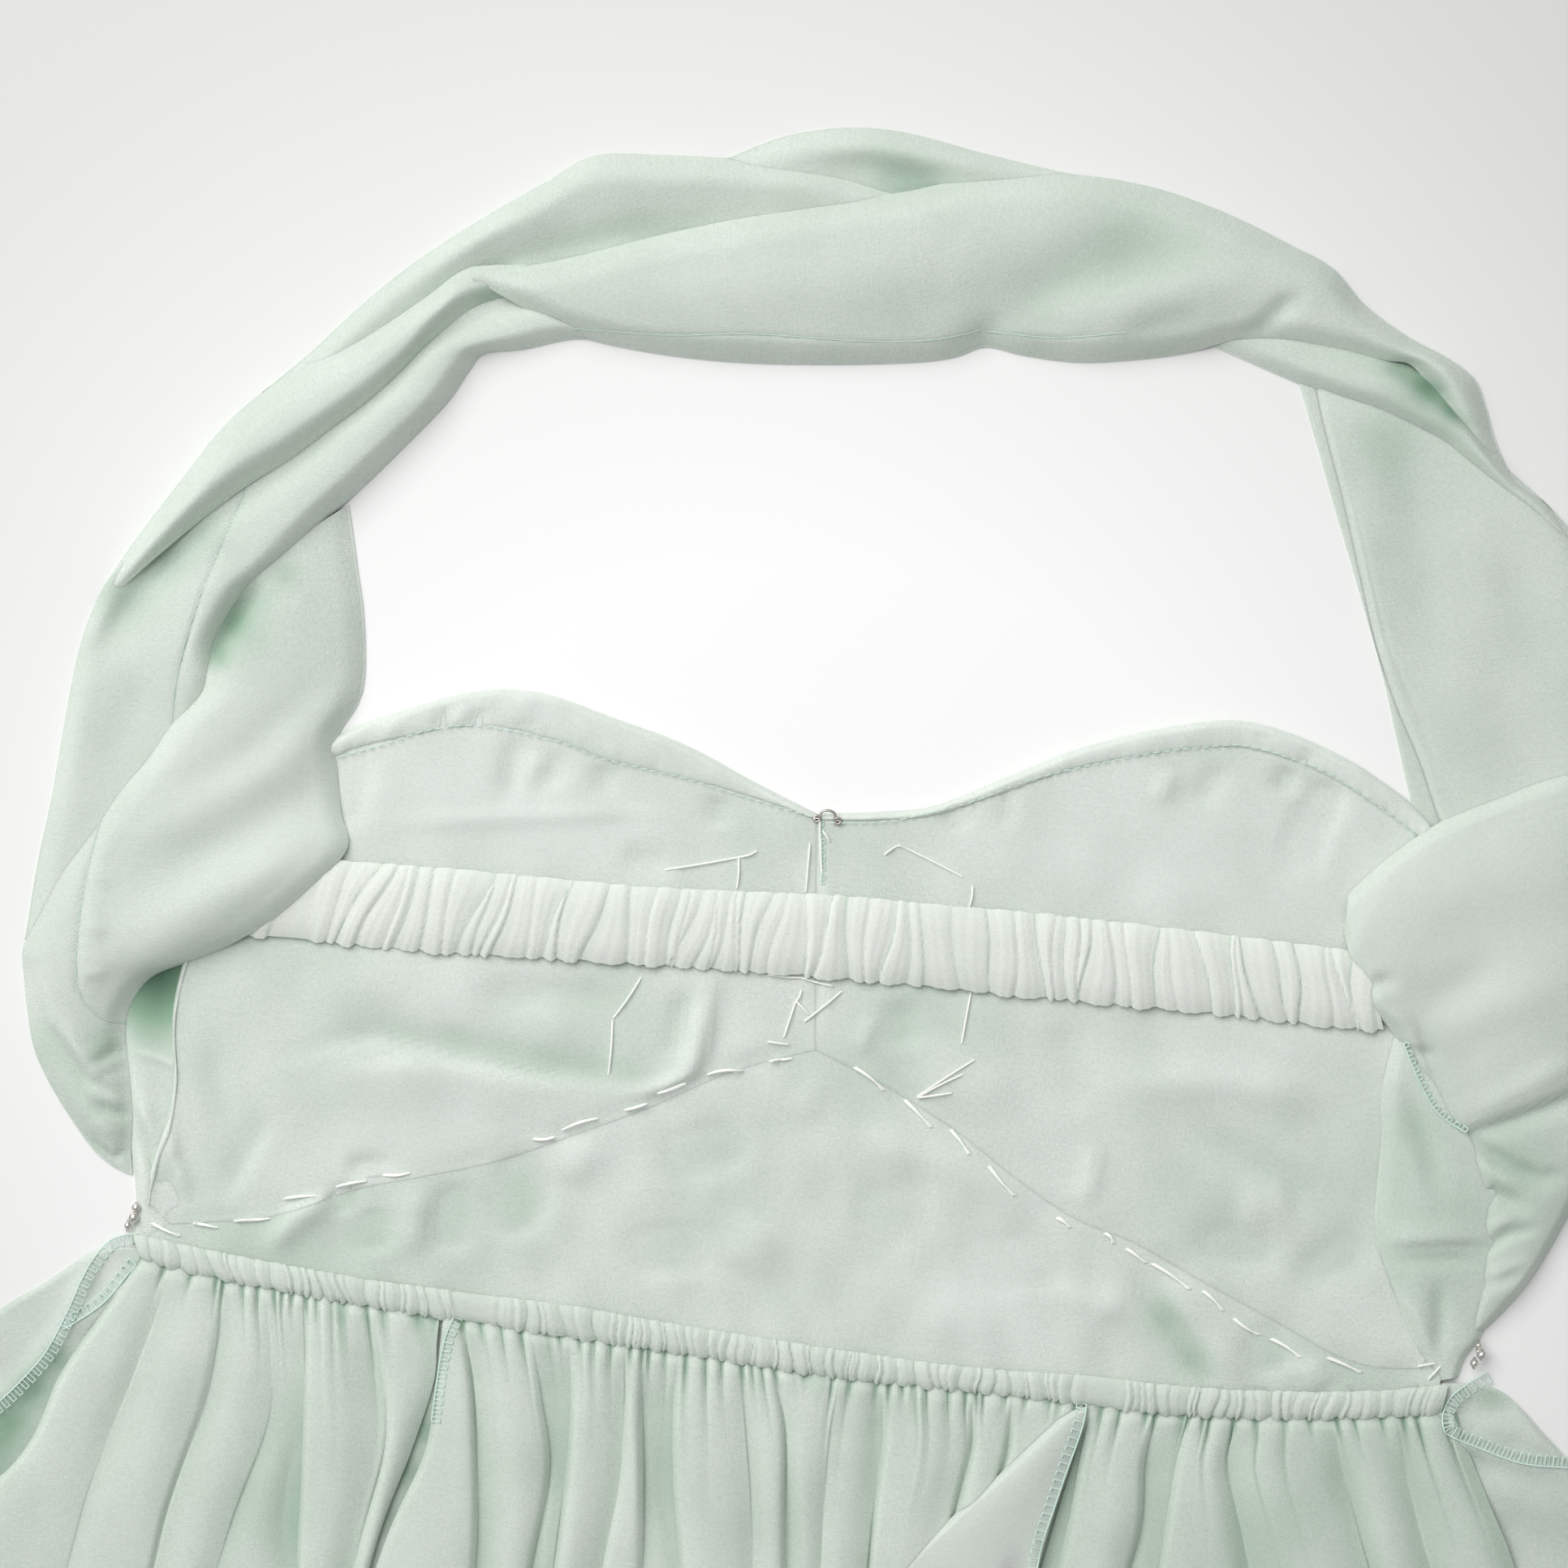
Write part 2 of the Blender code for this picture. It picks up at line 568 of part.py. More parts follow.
def add_skirt_back(collection, name, folds, material):
    """One panel of the upper skirt, hung from the lower edge of the casing."""
    casing = [(row.low_x, row.low_y) for row in WAIST]

    def back_point(row, share):
        x = mix(row.back_left, row.back_right, share)
        return x, skirt_line(row, x, (row.back_right - row.back_left) / 2, row.back_side_y)

    def surface(across, along):
        share, height = fold_at(folds, across, along)
        x, y = back_point(row_at(SKIRT, along), share)
        top_x, top_y = back_point(SKIRT[0], fold_at(folds, across, 0)[0])
        y -= (top_y - height_on(casing, top_x) + CASING_GAP) * (1 - along) ** 8
        lift = mix(WAIST_LIFT, 1, min(1, along / LIFT_SHARE))
        return x, y, SECOND_LAYER + CLOTH + height * lift

    steps = STEPS_PER_FOLD * (len(folds) - 1)
    add_walled(collection, name, steps, SKIRT_STEPS, surface, CLOTH, material)


def add_ruffles(collection, back_material, front_material):
    """The gathered tier at the hem, its upper layer waved and its under layer on the floor."""

    def wave(across, along, height, waves):
        turn = math.tau * waves * across + RUFFLE_DRIFT * math.sin(3 * math.pi * across)
        return height * (0.35 + 0.65 * along) * (0.5 - 0.5 * math.cos(turn))

    def back(across, along):
        row = row_at(HEM, along)
        x = mix(row.back_left, row.back_right, across)
        y = skirt_line(row, x, row.back_right, row.back_side_y)
        low = CLOTH + FRONT_RUFFLE_HEIGHT + LAYER_GAP + CLOTH
        return x, y, low + wave(across, along, RUFFLE_HEIGHT, RUFFLE_WAVES)

    def front(across, along):
        row = row_at(HEM, along)
        x = mix(-row.side_x, row.side_x, across)
        y = skirt_line(row, x, row.side_x, row.side_y)
        return x, y, CLOTH + wave(across, along, FRONT_RUFFLE_HEIGHT, FRONT_RUFFLE_WAVES)

    add_walled(collection, "hem_ruffle_back", 4 * RUFFLE_WAVES, 3, back, CLOTH, back_material)
    add_laid(collection, "hem_ruffle_front", 3 * FRONT_RUFFLE_WAVES, 2, front, 0, front_material)


def strap_rows(first, second, edge_first, edge_second, crown):
    """Rows for one roll of the left strap, between two of its three edges."""
    rows = []
    for place, row in enumerate(LEFT_STRAP):
        ax, ay = getattr(row, f"{first}_x"), getattr(row, f"{first}_y")
        bx, by = getattr(row, f"{second}_x"), getattr(row, f"{second}_y")
        width = math.hypot(bx - ax, by - ay)
        trim = min(0.25, 0.2 * width) / width
        full = min(1, 0.25 + place / 3, width / 10)
        points = (mix(ax, bx, trim), mix(ay, by, trim), mix(bx, ax, trim), mix(by, ay, trim))
        rows.append(Row(*points, edge_first, edge_second, crown * full))
    return rows


def add_stretch(collection, name, rows, across, base, material):
    steps = len(rows) - 1 if len(rows) > 8 else 2 * (len(rows) - 1)
    add_laid(collection, name, across, steps, stretch_surface(rows, base), base, material)


def add_drape(collection, material, light_material):
    """The gathered tube that makes the straps and the ring over the open back."""
    roll = strap_rows("outer", "middle", 3.0, 3.5, 8.0)
    inner = strap_rows("middle", "inner", 2.5, 2.5, 6.0)
    add_stretch(collection, "drape_left_root", DRAPE_LEFT_ROOT, 6, SECOND_LAYER, material)
    add_stretch(collection, "drape_left_back", DRAPE_LEFT_BACK, 6, 0, light_material)
    add_stretch(collection, "drape_left_roll", roll, 6, 0, material)
    add_stretch(collection, "drape_left_inner", inner, 6, 0, light_material)
    add_stretch(collection, "drape_left_upper", DRAPE_UPPER, 5, 0, light_material)
    add_stretch(collection, "drape_top_back", DRAPE_TOP_BACK, 5, 0, material)
    add_stretch(collection, "drape_top_front", DRAPE_TOP_FRONT, 8, 0, light_material)
    add_stretch(collection, "drape_right_strand", DRAPE_RIGHT_STRAND, 6, 0, material)
    add_stretch(collection, "drape_right_fall", DRAPE_RIGHT_FALL, 6, 0, light_material)
    add_stretch(collection, "drape_right_root", DRAPE_RIGHT_ROOT, 7, SECOND_LAYER, material)


def add_side_panels(collection, material):
    add_stretch(collection, "side_panel_left", SIDE_PANEL_LEFT, 2, 0, material)
    add_stretch(collection, "side_panel_right", SIDE_PANEL_RIGHT, 3, SECOND_LAYER, material)


def add_bead(collection, bead, material):
    mesh = bmesh.new()
    bmesh.ops.create_uvsphere(mesh, u_segments=10, v_segments=6, radius=bead.size / 2 * MM)
    bmesh.ops.translate(mesh, verts=mesh.verts[:], vec=(bead.x * MM, bead.y * MM, bead.z * MM))
    add_object(collection, bead.name, mesh, material)


def add_hook(collection, material):
    """The bent wire hook sewn at the middle of the neck edge."""
    curve = bpy.data.curves.new("neck_hook", "CURVE")
    curve.dimensions = "3D"
    curve.bevel_depth = HOOK_WIRE * MM
    curve.bevel_resolution = 1
    curve.use_fill_caps = True
    line = curve.splines.new("POLY")
    centre_x, centre_y = HOOK_CENTRE
    points = [(centre_x + HOOK_RADIUS, centre_y - HOOK_SHANK)]
    for step in range(9):
        turn = math.pi * step / 8
        points.append((centre_x + HOOK_RADIUS * math.cos(turn), centre_y + HOOK_RADIUS * math.sin(turn)))
    points.append((centre_x - HOOK_RADIUS, centre_y - HOOK_SHANK))
    line.points.add(len(points) - 1)
    for point, (x, y) in zip(line.points, points):
        point.co = (x * MM, y * MM, HOOK_HEIGHT * MM, 1)
    item = bpy.data.objects.new("neck_hook", curve)
    item.data.materials.append(material)
    collection.objects.link(item)


def build():
    collection = start_scene()
    mint = cloth_material("mint_crepe", MINT)
    light = cloth_material("mint_crepe_light", MINT_LIGHT)
    deep = cloth_material("mint_crepe_deep", MINT_DEEP)
    steel = cloth_material("hook_steel", STEEL, 0.35, 1.0)
    silver = cloth_material("bead_silver", SILVER, 0.2, 1.0)
    add_front(collection, "left", FRONT_LEFT, mint, light)
    add_front(collection, "right", FRONT_RIGHT, mint, light)
    add_inset(collection, light)
    add_side_panels(collection, mint)
    add_band(collection, light)
    add_casing(collection, light)
    add_skirt_front(collection, deep)
    add_skirt_back(collection, "skirt_back_left", BACK_LEFT_FOLDS, mint)
    add_skirt_back(collection, "skirt_back_centre", BACK_CENTRE_FOLDS, mint)
    add_skirt_back(collection, "skirt_back_right", BACK_RIGHT_FOLDS, mint)
    add_ruffles(collection, light, deep)
    add_drape(collection, mint, light)
    for bead in BEADS:
        add_bead(collection, bead, silver)
    add_hook(collection, steel)


build()
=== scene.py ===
import json
import math
import random

import bmesh
import bpy
import numpy as np
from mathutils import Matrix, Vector
from mathutils.bvhtree import BVHTree

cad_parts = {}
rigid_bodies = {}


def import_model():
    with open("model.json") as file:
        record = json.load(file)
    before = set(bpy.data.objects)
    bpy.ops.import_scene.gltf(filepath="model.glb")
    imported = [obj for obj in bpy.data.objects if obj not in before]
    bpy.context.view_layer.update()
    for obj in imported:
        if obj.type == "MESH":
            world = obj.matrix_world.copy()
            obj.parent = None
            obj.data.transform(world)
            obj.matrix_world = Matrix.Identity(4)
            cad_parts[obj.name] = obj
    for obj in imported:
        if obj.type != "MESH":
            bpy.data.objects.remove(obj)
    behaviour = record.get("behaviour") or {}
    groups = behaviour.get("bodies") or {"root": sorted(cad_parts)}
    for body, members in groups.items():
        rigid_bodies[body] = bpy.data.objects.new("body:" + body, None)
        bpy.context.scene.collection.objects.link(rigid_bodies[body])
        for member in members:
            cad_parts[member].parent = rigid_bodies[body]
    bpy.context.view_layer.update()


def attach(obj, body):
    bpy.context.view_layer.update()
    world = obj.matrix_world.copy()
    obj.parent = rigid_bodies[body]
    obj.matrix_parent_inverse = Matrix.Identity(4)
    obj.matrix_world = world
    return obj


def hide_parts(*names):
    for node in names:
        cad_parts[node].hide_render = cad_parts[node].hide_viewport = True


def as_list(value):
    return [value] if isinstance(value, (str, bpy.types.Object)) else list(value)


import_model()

mm = 0.001  # every size below is in millimetres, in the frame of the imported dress


def newObject(name, data):
    made = bpy.data.objects.new(name, data)
    bpy.context.scene.collection.objects.link(made)
    return made


def meshOf(sheet, name, finish):
    data = bpy.data.meshes.new(name)
    sheet.to_mesh(data)
    sheet.free()
    data.materials.append(finish)
    return data


# The camera looks straight down, turned a little as the dress lies in the picture.
shot = {"x": -17, "y": 372, "height": 1600, "frameWidth": 405.7, "sensor": 36, "turn": 6.5}


def addCamera():
    data = bpy.data.cameras.new("shot")
    data.sensor_width = shot["sensor"]
    data.lens = shot["sensor"] * shot["height"] / shot["frameWidth"]
    camera = newObject("shot", data)
    camera.location = Vector((shot["x"], shot["y"], shot["height"])) * mm
    camera.rotation_euler = (0, 0, math.radians(shot["turn"]))
    bpy.context.scene.camera = camera


class Wire:
    # a socket of a material, so that a sum on it reads as a sum
    def __init__(self, finish, socket):
        self.finish = finish
        self.socket = socket

    def __add__(self, other):
        return self.finish.sum("ADD", self, other)

    def __sub__(self, other):
        return self.finish.sum("SUBTRACT", self, other)

    def __mul__(self, other):
        return self.finish.sum("MULTIPLY", self, other)


class Finish:
    # one procedural material: fixed values go on the shader, node() adds what varies
    def __init__(self, name, fixed):
        self.material = bpy.data.materials.new(name)
        self.material.use_nodes = True
        self.tree = self.material.node_tree
        self.shader = self.tree.nodes["Principled BSDF"]
        self.surface(fixed)

    def plug(self, socket, value):
        if isinstance(value, Wire):
            self.tree.links.new(value.socket, socket)
        else:
            socket.default_value = value

    def node(self, kind, settings=None, inputs=None, output=0):
        node = self.tree.nodes.new("ShaderNode" + kind)
        for name, value in (settings or {}).items():
            setattr(node, name, value)
        for key, value in (inputs or {}).items():
            self.plug(node.inputs[key], value)
        return Wire(self, node.outputs[output])

    def noise(self, place, scale, detail, roughness=0.5):
        inputs = {"Vector": place, "Scale": scale, "Detail": detail, "Roughness": roughness}
        return self.node("TexNoise", {}, inputs)

    def sum(self, operation, first, second):
        return self.node("Math", {"operation": operation}, {0: first, 1: second})

    def blend(self, share, first, second):
        inputs = {0: share, 6: first, 7: second}
        return self.node("Mix", {"data_type": "RGBA", "clamp_factor": True}, inputs, 2)

    def bump(self, height, strength, distance):
        return self.node("Bump", {}, {"Height": height, "Strength": strength, "Distance": distance})

    def surface(self, inputs):
        for name, value in inputs.items():
            self.plug(self.shader.inputs[name], value)


def paint(red, green, blue):
    # a colour given as screen values, made the light values that a shader takes
    return tuple(((part / 255 + 0.055) / 1.055) ** 2.4 for part in (red, green, blue)) + (1.0,)


# The crepe: fine pebbled threads, with soft clouds where the two layers cling together.
crepe = {
    "pebble": 1500, "grain": 760, "thread": 520, "cloud": 26,
    "relief": 0.0005, "strength": 0.5, "roughness": 0.82,
}
crepeSurface = {
    "Sheen Weight": 0.06, "Sheen Roughness": 0.6, "Specular IOR Level": 0.12,
    "Subsurface Weight": 0.5, "Subsurface Radius": (0.8, 1.0, 0.8), "Subsurface Scale": 0.0022,
}
# the painted shade of the deepest hollows: the armhole's pocket and the hollow under the drape's strand
hollowPaintedShade = paint(92, 122, 102)


def crepeFinish(name, light, body, deep):
    finish = Finish(name, crepeSurface)
    weave = finish.node("Attribute", {"attribute_name": "weave"}, output="Vector")
    tone = finish.node("Attribute", {"attribute_name": "tone"}, output="Fac")
    pebble = finish.noise(weave, crepe["pebble"], 2, 0.6)
    grain = finish.noise(weave, crepe["grain"], 2, 0.7)
    cloud = finish.noise(weave, crepe["cloud"], 3, 0.55)
    threads = {"Vector": weave, "Scale": crepe["thread"], "Distortion": 1.6, "Detail": 1, "Detail Scale": 2}
    warp = finish.node("TexWave", {"bands_direction": "X"}, threads, "Fac")
    weft = finish.node("TexWave", {"bands_direction": "Y"}, threads, "Fac")
    rough = pebble * 0.62 + grain * 0.38
    colour = finish.blend((cloud - 0.36) * 2.6, paint(*light), paint(*body))
    colour = finish.blend((rough - 0.36) * 0.8 + (warp + weft) * 0.05, colour, paint(*deep))
    # painted shading: above nothing it lightens the cloth as painted light, below nothing it deepens it as
    # painted shade, and below -1 it turns to the painted shade of the deepest hollows
    colour = finish.blend(tone, colour, paint(*light))
    colour = finish.blend(tone * -1.0, colour, paint(*deep))
    colour = finish.blend(tone * -1.0 - 1.0, colour, hollowPaintedShade)
    height = rough * 0.9 + (warp + weft) * 0.14 + cloud * 0.1
    normal = finish.bump(height, crepe["strength"], crepe["relief"])
    finish.surface({"Base Color": colour, "Roughness": rough * 0.12 + crepe["roughness"], "Normal": normal})
    return finish.material


def threadFinish(name, light, deep):
    # spun thread: fine turns of light and shade along it
    finish = Finish(name, {"Sheen Weight": 0.3, "Specular IOR Level": 0.35, "Roughness": 0.6})
    ply = finish.noise(finish.node("TexCoord", output="Object"), 2600, 1)
    colour = finish.blend((ply - 0.35) * 1.6, paint(*light), paint(*deep))
    finish.surface({"Base Color": colour, "Normal": finish.bump(ply, 0.4, 0.0001)})
    return finish.material


def metalFinish(name, colour, roughness):
    finish = Finish(name, {"Metallic": 1.0})
    wear = finish.noise(finish.node("TexCoord", output="Object"), 900, 3)
    worn = paint(*(part * 0.8 for part in colour))
    shine = finish.blend((wear - 0.4) * 1.2, paint(*colour), worn)
    finish.surface({"Base Color": shine, "Roughness": wear * 0.2 + roughness})
    return finish.material


def floorFinish():
    # white paper around the neck of the dress, with painted shade that darkens it further away
    finish = Finish("floor_paper", {"Specular IOR Level": 0.15, "Roughness": 0.9})
    place = finish.node("TexCoord", output="Object")
    far = finish.node("VectorMath", {"operation": "DISTANCE"}, {0: place, 1: (0.0, 0.3, 0.0)}, 1)
    paintedFalloff = finish.node("Math", {"operation": "SMOOTH_MIN"}, {0: far * 5.0 - 0.65, 1: 1.0, 2: 0.3})
    finish.surface({"Base Color": finish.blend(paintedFalloff, paint(248, 248, 247), paint(214, 213, 211))})
    return finish.material


# In metres and watts: the floor, one big soft window at the upper left, and the pale room around.
floorHalf = 4.0
window = {"place": (-0.85, 1.05, 1.4), "aim": (-0.08, 0.38, 0.0), "size": 1.6, "power": 30.5}
room = {"Color": (0.98, 0.99, 1.0, 1.0), "Strength": 0.41}


def addStage():
    sheet = bmesh.new()
    bmesh.ops.create_grid(sheet, x_segments=1, y_segments=1, size=floorHalf)
    newObject("floor", meshOf(sheet, "floor", floorFinish()))
    lamp = bpy.data.lights.new("window", "AREA")
    lamp.size = window["size"]
    lamp.energy = window["power"]
    box = newObject("window", lamp)
    box.location = window["place"]
    aim = Vector(window["aim"]) - Vector(window["place"])
    box.rotation_euler = aim.to_track_quat("-Z", "Y").to_euler()
    world = bpy.data.worlds.new("room")
    world.use_nodes = True
    for name, value in room.items():
        world.node_tree.nodes["Background"].inputs[name].default_value = value
    bpy.context.scene.world = world
    bpy.context.scene.view_settings.view_transform = "Standard"


def between(start, end, share):
    return start + (end - start) * share


def crowded(share, much):
    # shares moved towards 0 and 1, so that more points lie near both ends
    return share - much * np.sin(math.tau * share) / math.tau


def bell(gap, width):
    # 1 where the gap is nothing, and next to nothing two widths away
    return np.exp(-((gap / width) ** 2))


def eased(share):
    share = np.clip(share, 0, 1)
    return share * share * (3 - 2 * share)


def smoothBetween(before, start, end, after, share):
    # a Catmull-Rom curve through four values, read between the middle two
    twist = 3 * (start - end) + after - before
    bend = 2 * before - 5 * start + 4 * end - after
    return start + 0.5 * share * (end - before + share * (bend + share * twist))


def throughRows(table, along):
    # the rows of a table, read at shares of the way down it
    table = np.asarray(table, float)
    last = len(table) - 1
    place = np.clip(along, 0, 1) * last
    first = np.minimum(place.astype(int), last - 1)
    four = [table[np.clip(first + step, 0, last)] for step in (-1, 0, 1, 2)]
    return smoothBetween(*four, (place - first)[:, None])


def throughHeights(heights, across):
    # the heights of a row, read at shares of the way across it
    last = heights.shape[1] - 1
    place = np.clip(across, 0, 1) * last
    first = np.minimum(place.astype(int), last - 1)
    each = np.arange(len(first))
    four = [heights[each, np.clip(first + step, 0, last)] for step in (-1, 0, 1, 2)]
    return smoothBetween(*four, place - first)


def heightOn(line, x):
    # y at x on a line across the dress
    xs, ys = zip(*line)
    return np.interp(x, xs, ys)


def nearLine(x, y, line):
    # how far points are from a line, which side of it they are on, how far along it, and its length
    gap = np.full(x.shape, 1e9)
    side = np.zeros(x.shape)
    run = np.zeros(x.shape)
    past = 0.0
    for (x1, y1), (x2, y2) in zip(line, line[1:]):
        length = math.hypot(x2 - x1, y2 - y1)
        dx, dy = (x2 - x1) / length, (y2 - y1) / length
        along = np.clip((x - x1) * dx + (y - y1) * dy, 0, length)
        offX, offY = x - x1 - along * dx, y - y1 - along * dy
        away = np.hypot(offX, offY)
        closer = away < gap
        gap = np.where(closer, away, gap)
        side = np.where(closer, dx * offY - dy * offX, side)
        run = np.where(closer, past + along, run)
        past += length
    return gap, side, run, past


def creaseLift(x, y, creases):
    # A crease is its height, its width to the left and to the right of its line, and then the x and
    # y of that line's points. It fades towards both of its ends.
    lift = np.zeros(x.shape)
    for height, leftWidth, rightWidth, *line in creases:
        gap, side, run, length = nearLine(x, y, list(zip(line[::2], line[1::2])))
        width = np.where(side > 0, leftWidth, rightWidth)
        lift += height * eased(np.minimum(run, length - run) / (0.38 * length)) * bell(gap, width)
    return lift


def wobble(x, y, span, height):
    # the slight unevenness of cloth that was laid by hand
    total = np.zeros(x.shape)
    for step in range(5):
        turn = 2.4 * step + 0.3
        stretch = math.tau / (span * (0.7 + 0.23 * step))
        total += np.sin((x * math.cos(turn) + y * math.sin(turn)) * stretch + 1.7 * step)
    return total * height / 5


def rolled(height, low, gap, radius):
    # cloth that turns down at its edge, steepest right at the edge
    share = np.clip(gap / radius, 0, 1)
    return low + (height - low) * (1 - (1 - share) ** 2.3)


def paintedShadingAt(x, y, tones):
    # spots of painted light and painted shade: x, y, radius, and an amount that lightens above nothing and
    # deepens below
    total = np.zeros(x.shape)
    for spotX, spotY, radius, amount in tones:
        total += amount * np.exp(-((x - spotX) ** 2 + (y - spotY) ** 2) / radius**2)
    return total


wallThickness = 0.6
lowestTop = 0.62  # the wall under a cloth's top still lies above the floor


def layGrid(sheet, steps, form):
    # form() turns shares across and along into x, y, z, the two ways of the weave, and the painted shading
    made = bmesh.ops.create_grid(sheet, x_segments=steps[0], y_segments=steps[1], size=0.5)["verts"]
    weave = sheet.verts.layers.float_vector["weave"]
    tone = sheet.verts.layers.float["tone"]
    shares = np.array([vert.co[:2] for vert in made]) + 0.5
    x, y, z, warp, weft, shade = form(shares[:, 0], shares[:, 1])
    places = (np.column_stack([x, y, np.maximum(z, lowestTop)]) * mm).tolist()
    threads = (np.column_stack([warp, weft, np.zeros(x.shape)]) * mm).tolist()
    shades = (np.zeros(x.shape) + shade).tolist()
    for vert, place, thread, value in zip(made, places, threads, shades):
        vert.co = place
        vert[weave] = thread
        vert[tone] = value
    faces = list({face for vert in made for face in vert.link_faces})
    for face in faces:
        face.normal_update()
    if sum(face.normal.z for face in faces) < 0:
        bmesh.ops.reverse_faces(sheet, faces=faces)


def addCloth(name, grids, finish, flat, held, on, nodes=None, wall=wallThickness):
    # A thin wall of cloth under one grid or more, each given as its steps and its form. It stands
    # for the node that it is named after, unless nodes lists others.
    sheet = bmesh.new()
    sheet.verts.layers.float_vector.new("weave")
    sheet.verts.layers.float.new("tone")
    for steps, form in grids:
        layGrid(sheet, steps, form)
    for face in sheet.faces:
        face.smooth = True
    for edge in sheet.edges:
        edge.smooth = not edge.is_boundary  # the rim of the wall is shaded on its own
    piece = newObject(name, meshOf(sheet, name, finish))
    solid = piece.modifiers.new("wall", "SOLIDIFY")
    solid.thickness = wall * mm
    solid.offset = -1
    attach(piece, "root")
    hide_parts(*(nodes or [name.removesuffix("_cloth")]))
    flat[0] * mm
    flat[1] * mm
    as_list(on)


def sectioned(spec):
    # A stretch of cloth. Each row gives the x and y of its two ends, the heights that its edges
    # turn down to, and five heights across it.
    table = np.array(spec["rows"], float)
    middle = (table[:, 0:2] + table[:, 2:4]) / 2
    reach = np.concatenate([[0], np.cumsum(np.hypot(*np.diff(middle, axis=0).T))])

    def form(across, along):
        row = throughRows(table, along)
        startX, startY, endX, endY, startLow, endLow = row[:, :6].T
        edge = crowded(across, 0.72)
        width = np.hypot(endX - startX, endY - startY)
        x, y = between(startX, endX, edge), between(startY, endY, edge)
        lift = creaseLift(x, y, spec.get("creases", ()))
        z = throughHeights(row[:, 6:], edge) + lift + wobble(x, y, 34, spec.get("uneven", 0.35))
        z = np.maximum(z, 0.9)
        z = rolled(z, startLow, edge * width, spec["roll"][0])
        z = rolled(z, endLow, (1 - edge) * width, spec["roll"][1])
        down = np.interp(along * (len(table) - 1), range(len(table)), reach)
        # painted light and shade from the listed spots, painted shade in the creases and painted light on the
        # ridges
        return x, y, z, edge * width, down, paintedShadingAt(x, y, spec.get("tones", ())) + 0.07 * lift

    return form


def addStretch(name, finish, slot, spec, *more):
    grids = [(part["steps"], sectioned(part)) for part in (spec, *more)]
    held = spec.get("held", "folded")
    addCloth(name, grids, finish, spec["flat"], held, spec["on"], spec.get("nodes"))


# Screen colours of each finish: where it catches the light, its body, and its deepest shade.
# The four crepes are one cloth made lighter or darker piece by piece: partly painted light and shade, partly
# the layers that lie under each.
crepeBand = crepeFinish("crepe_band", (241, 249, 237), (230, 240, 227), (172, 197, 175))
crepeLined = crepeFinish("crepe_lined", (234, 243, 232), (214, 226, 213), (148, 178, 154))
crepeDrape = crepeFinish("crepe_drape", (222, 232, 220), (206, 217, 205), (144, 173, 151))
crepeSkirt = crepeFinish("crepe_skirt", (222, 231, 220), (206, 217, 205), (141, 170, 148))
bastingWhite = threadFinish("basting_thread", (254, 254, 250), (240, 241, 234))
aquaThread = threadFinish("aqua_thread", (218, 238, 229), (184, 214, 201))
# painted shadow along the drape's seams, drawn as thin threads
seamShadowLine = threadFinish("seam_shadow_line", (196, 214, 202), (170, 194, 178))
steelFinish = metalFinish("hook_steel", (196, 190, 184), 0.28)
silverFinish = metalFinish("bead_silver", (225, 222, 216), 0.16)

addCamera()
addStage()
print("stage: camera, floor and lights")


# The midriff inset, under the bodice seam above and the waist casing below.
inset = {
    "left": (-167, 239.6), "right": (169, 238.5),
    "creases": (
        (1.3, 3, 4, -138, 234, -130, 246, -118, 256), (-1.5, 5, 6, -76, 272, -72, 259, -76, 245),
        (-1.1, 5, 5, -40, 272, -12, 279), (0.8, 5, 6, -56, 276, -62, 262),
        (1, 4, 5, -98, 262, -99, 247, -102, 236), (-1, 4, 4, -89, 262, -89, 240),
        (-1.1, 3, 3, -123, 249, -114, 256), (-0.8, 4, 4, -111, 252, -108, 238),
        (0.8, 8, 8, -10, 262, -16, 244), (-0.9, 8, 8, -34, 258, -30, 240),
        (-1.1, 4.5, 2, 86, 258, 92, 250, 99, 243, 114, 226), (0.9, 7, 3, 94, 258, 104, 246, 119, 229),
        (0.7, 4, 4, 64, 252, 80, 247, 90, 253), (-1.4, 6, 6, 38, 250, 53, 256, 74, 257),
        (-1.1, 7, 7, 10, 264, 36, 266), (0.9, 5, 6, 4, 285, 39, 279, 60, 267),
        (-1.3, 4, 4, 119, 247, 129, 235), (0.8, 4, 4, 132, 240, 140, 232), (0.8, 8, 7, 30, 240, 60, 238),
        (0.6, 4, 4, 0, 300, -2, 284),
    ),
    "tones": (
        (55, 250, 22, 0.25), (-100, 245, 30, -0.15), (-140, 240, 24, -0.25), (96, 246, 6, -0.4),
        (105, 236, 6, -0.4), (150, 238, 20, -0.25), (10, 240, 26, 0.1),
    ),
}


def insetLift(x, y):
    return creaseLift(x, y, inset["creases"]) * 2.1


def insetTop(x, y):
    return 1.4 + insetLift(x, y) + wobble(x, y, 18, 0.7)


# The front bodice, seen from inside. Each row: x and y on the inset seam, x and y on the neck edge
# above it, and how far the neck facing reaches down.
bodiceLeftRows = (
    (-161.5, 241, -169, 246, 2), (-155.5, 242, -168.4, 257, 3), (-149, 243.2, -165.8, 268, 3),
    (-144.5, 243.8, -165.4, 280, 3), (-140.5, 244.6, -167.2, 299, 3), (-136, 246, -162, 326, 3),
    (-131, 248, -148, 353, 4), (-126, 250.3, -137, 367, 4.5), (-120.5, 252.9, -129.5, 373.5, 5.5),
    (-112, 256.5, -117, 379.5, 7), (-97, 261, -99, 386.5, 9), (-79, 267, -82, 388, 11),
    (-60, 276, -62, 383.5, 11), (-42, 285, -44, 379, 8.5), (-22, 296.5, -25, 371.5, 4),
    (-1.2, 304.6, -7.8, 365.1, 1.5),
)
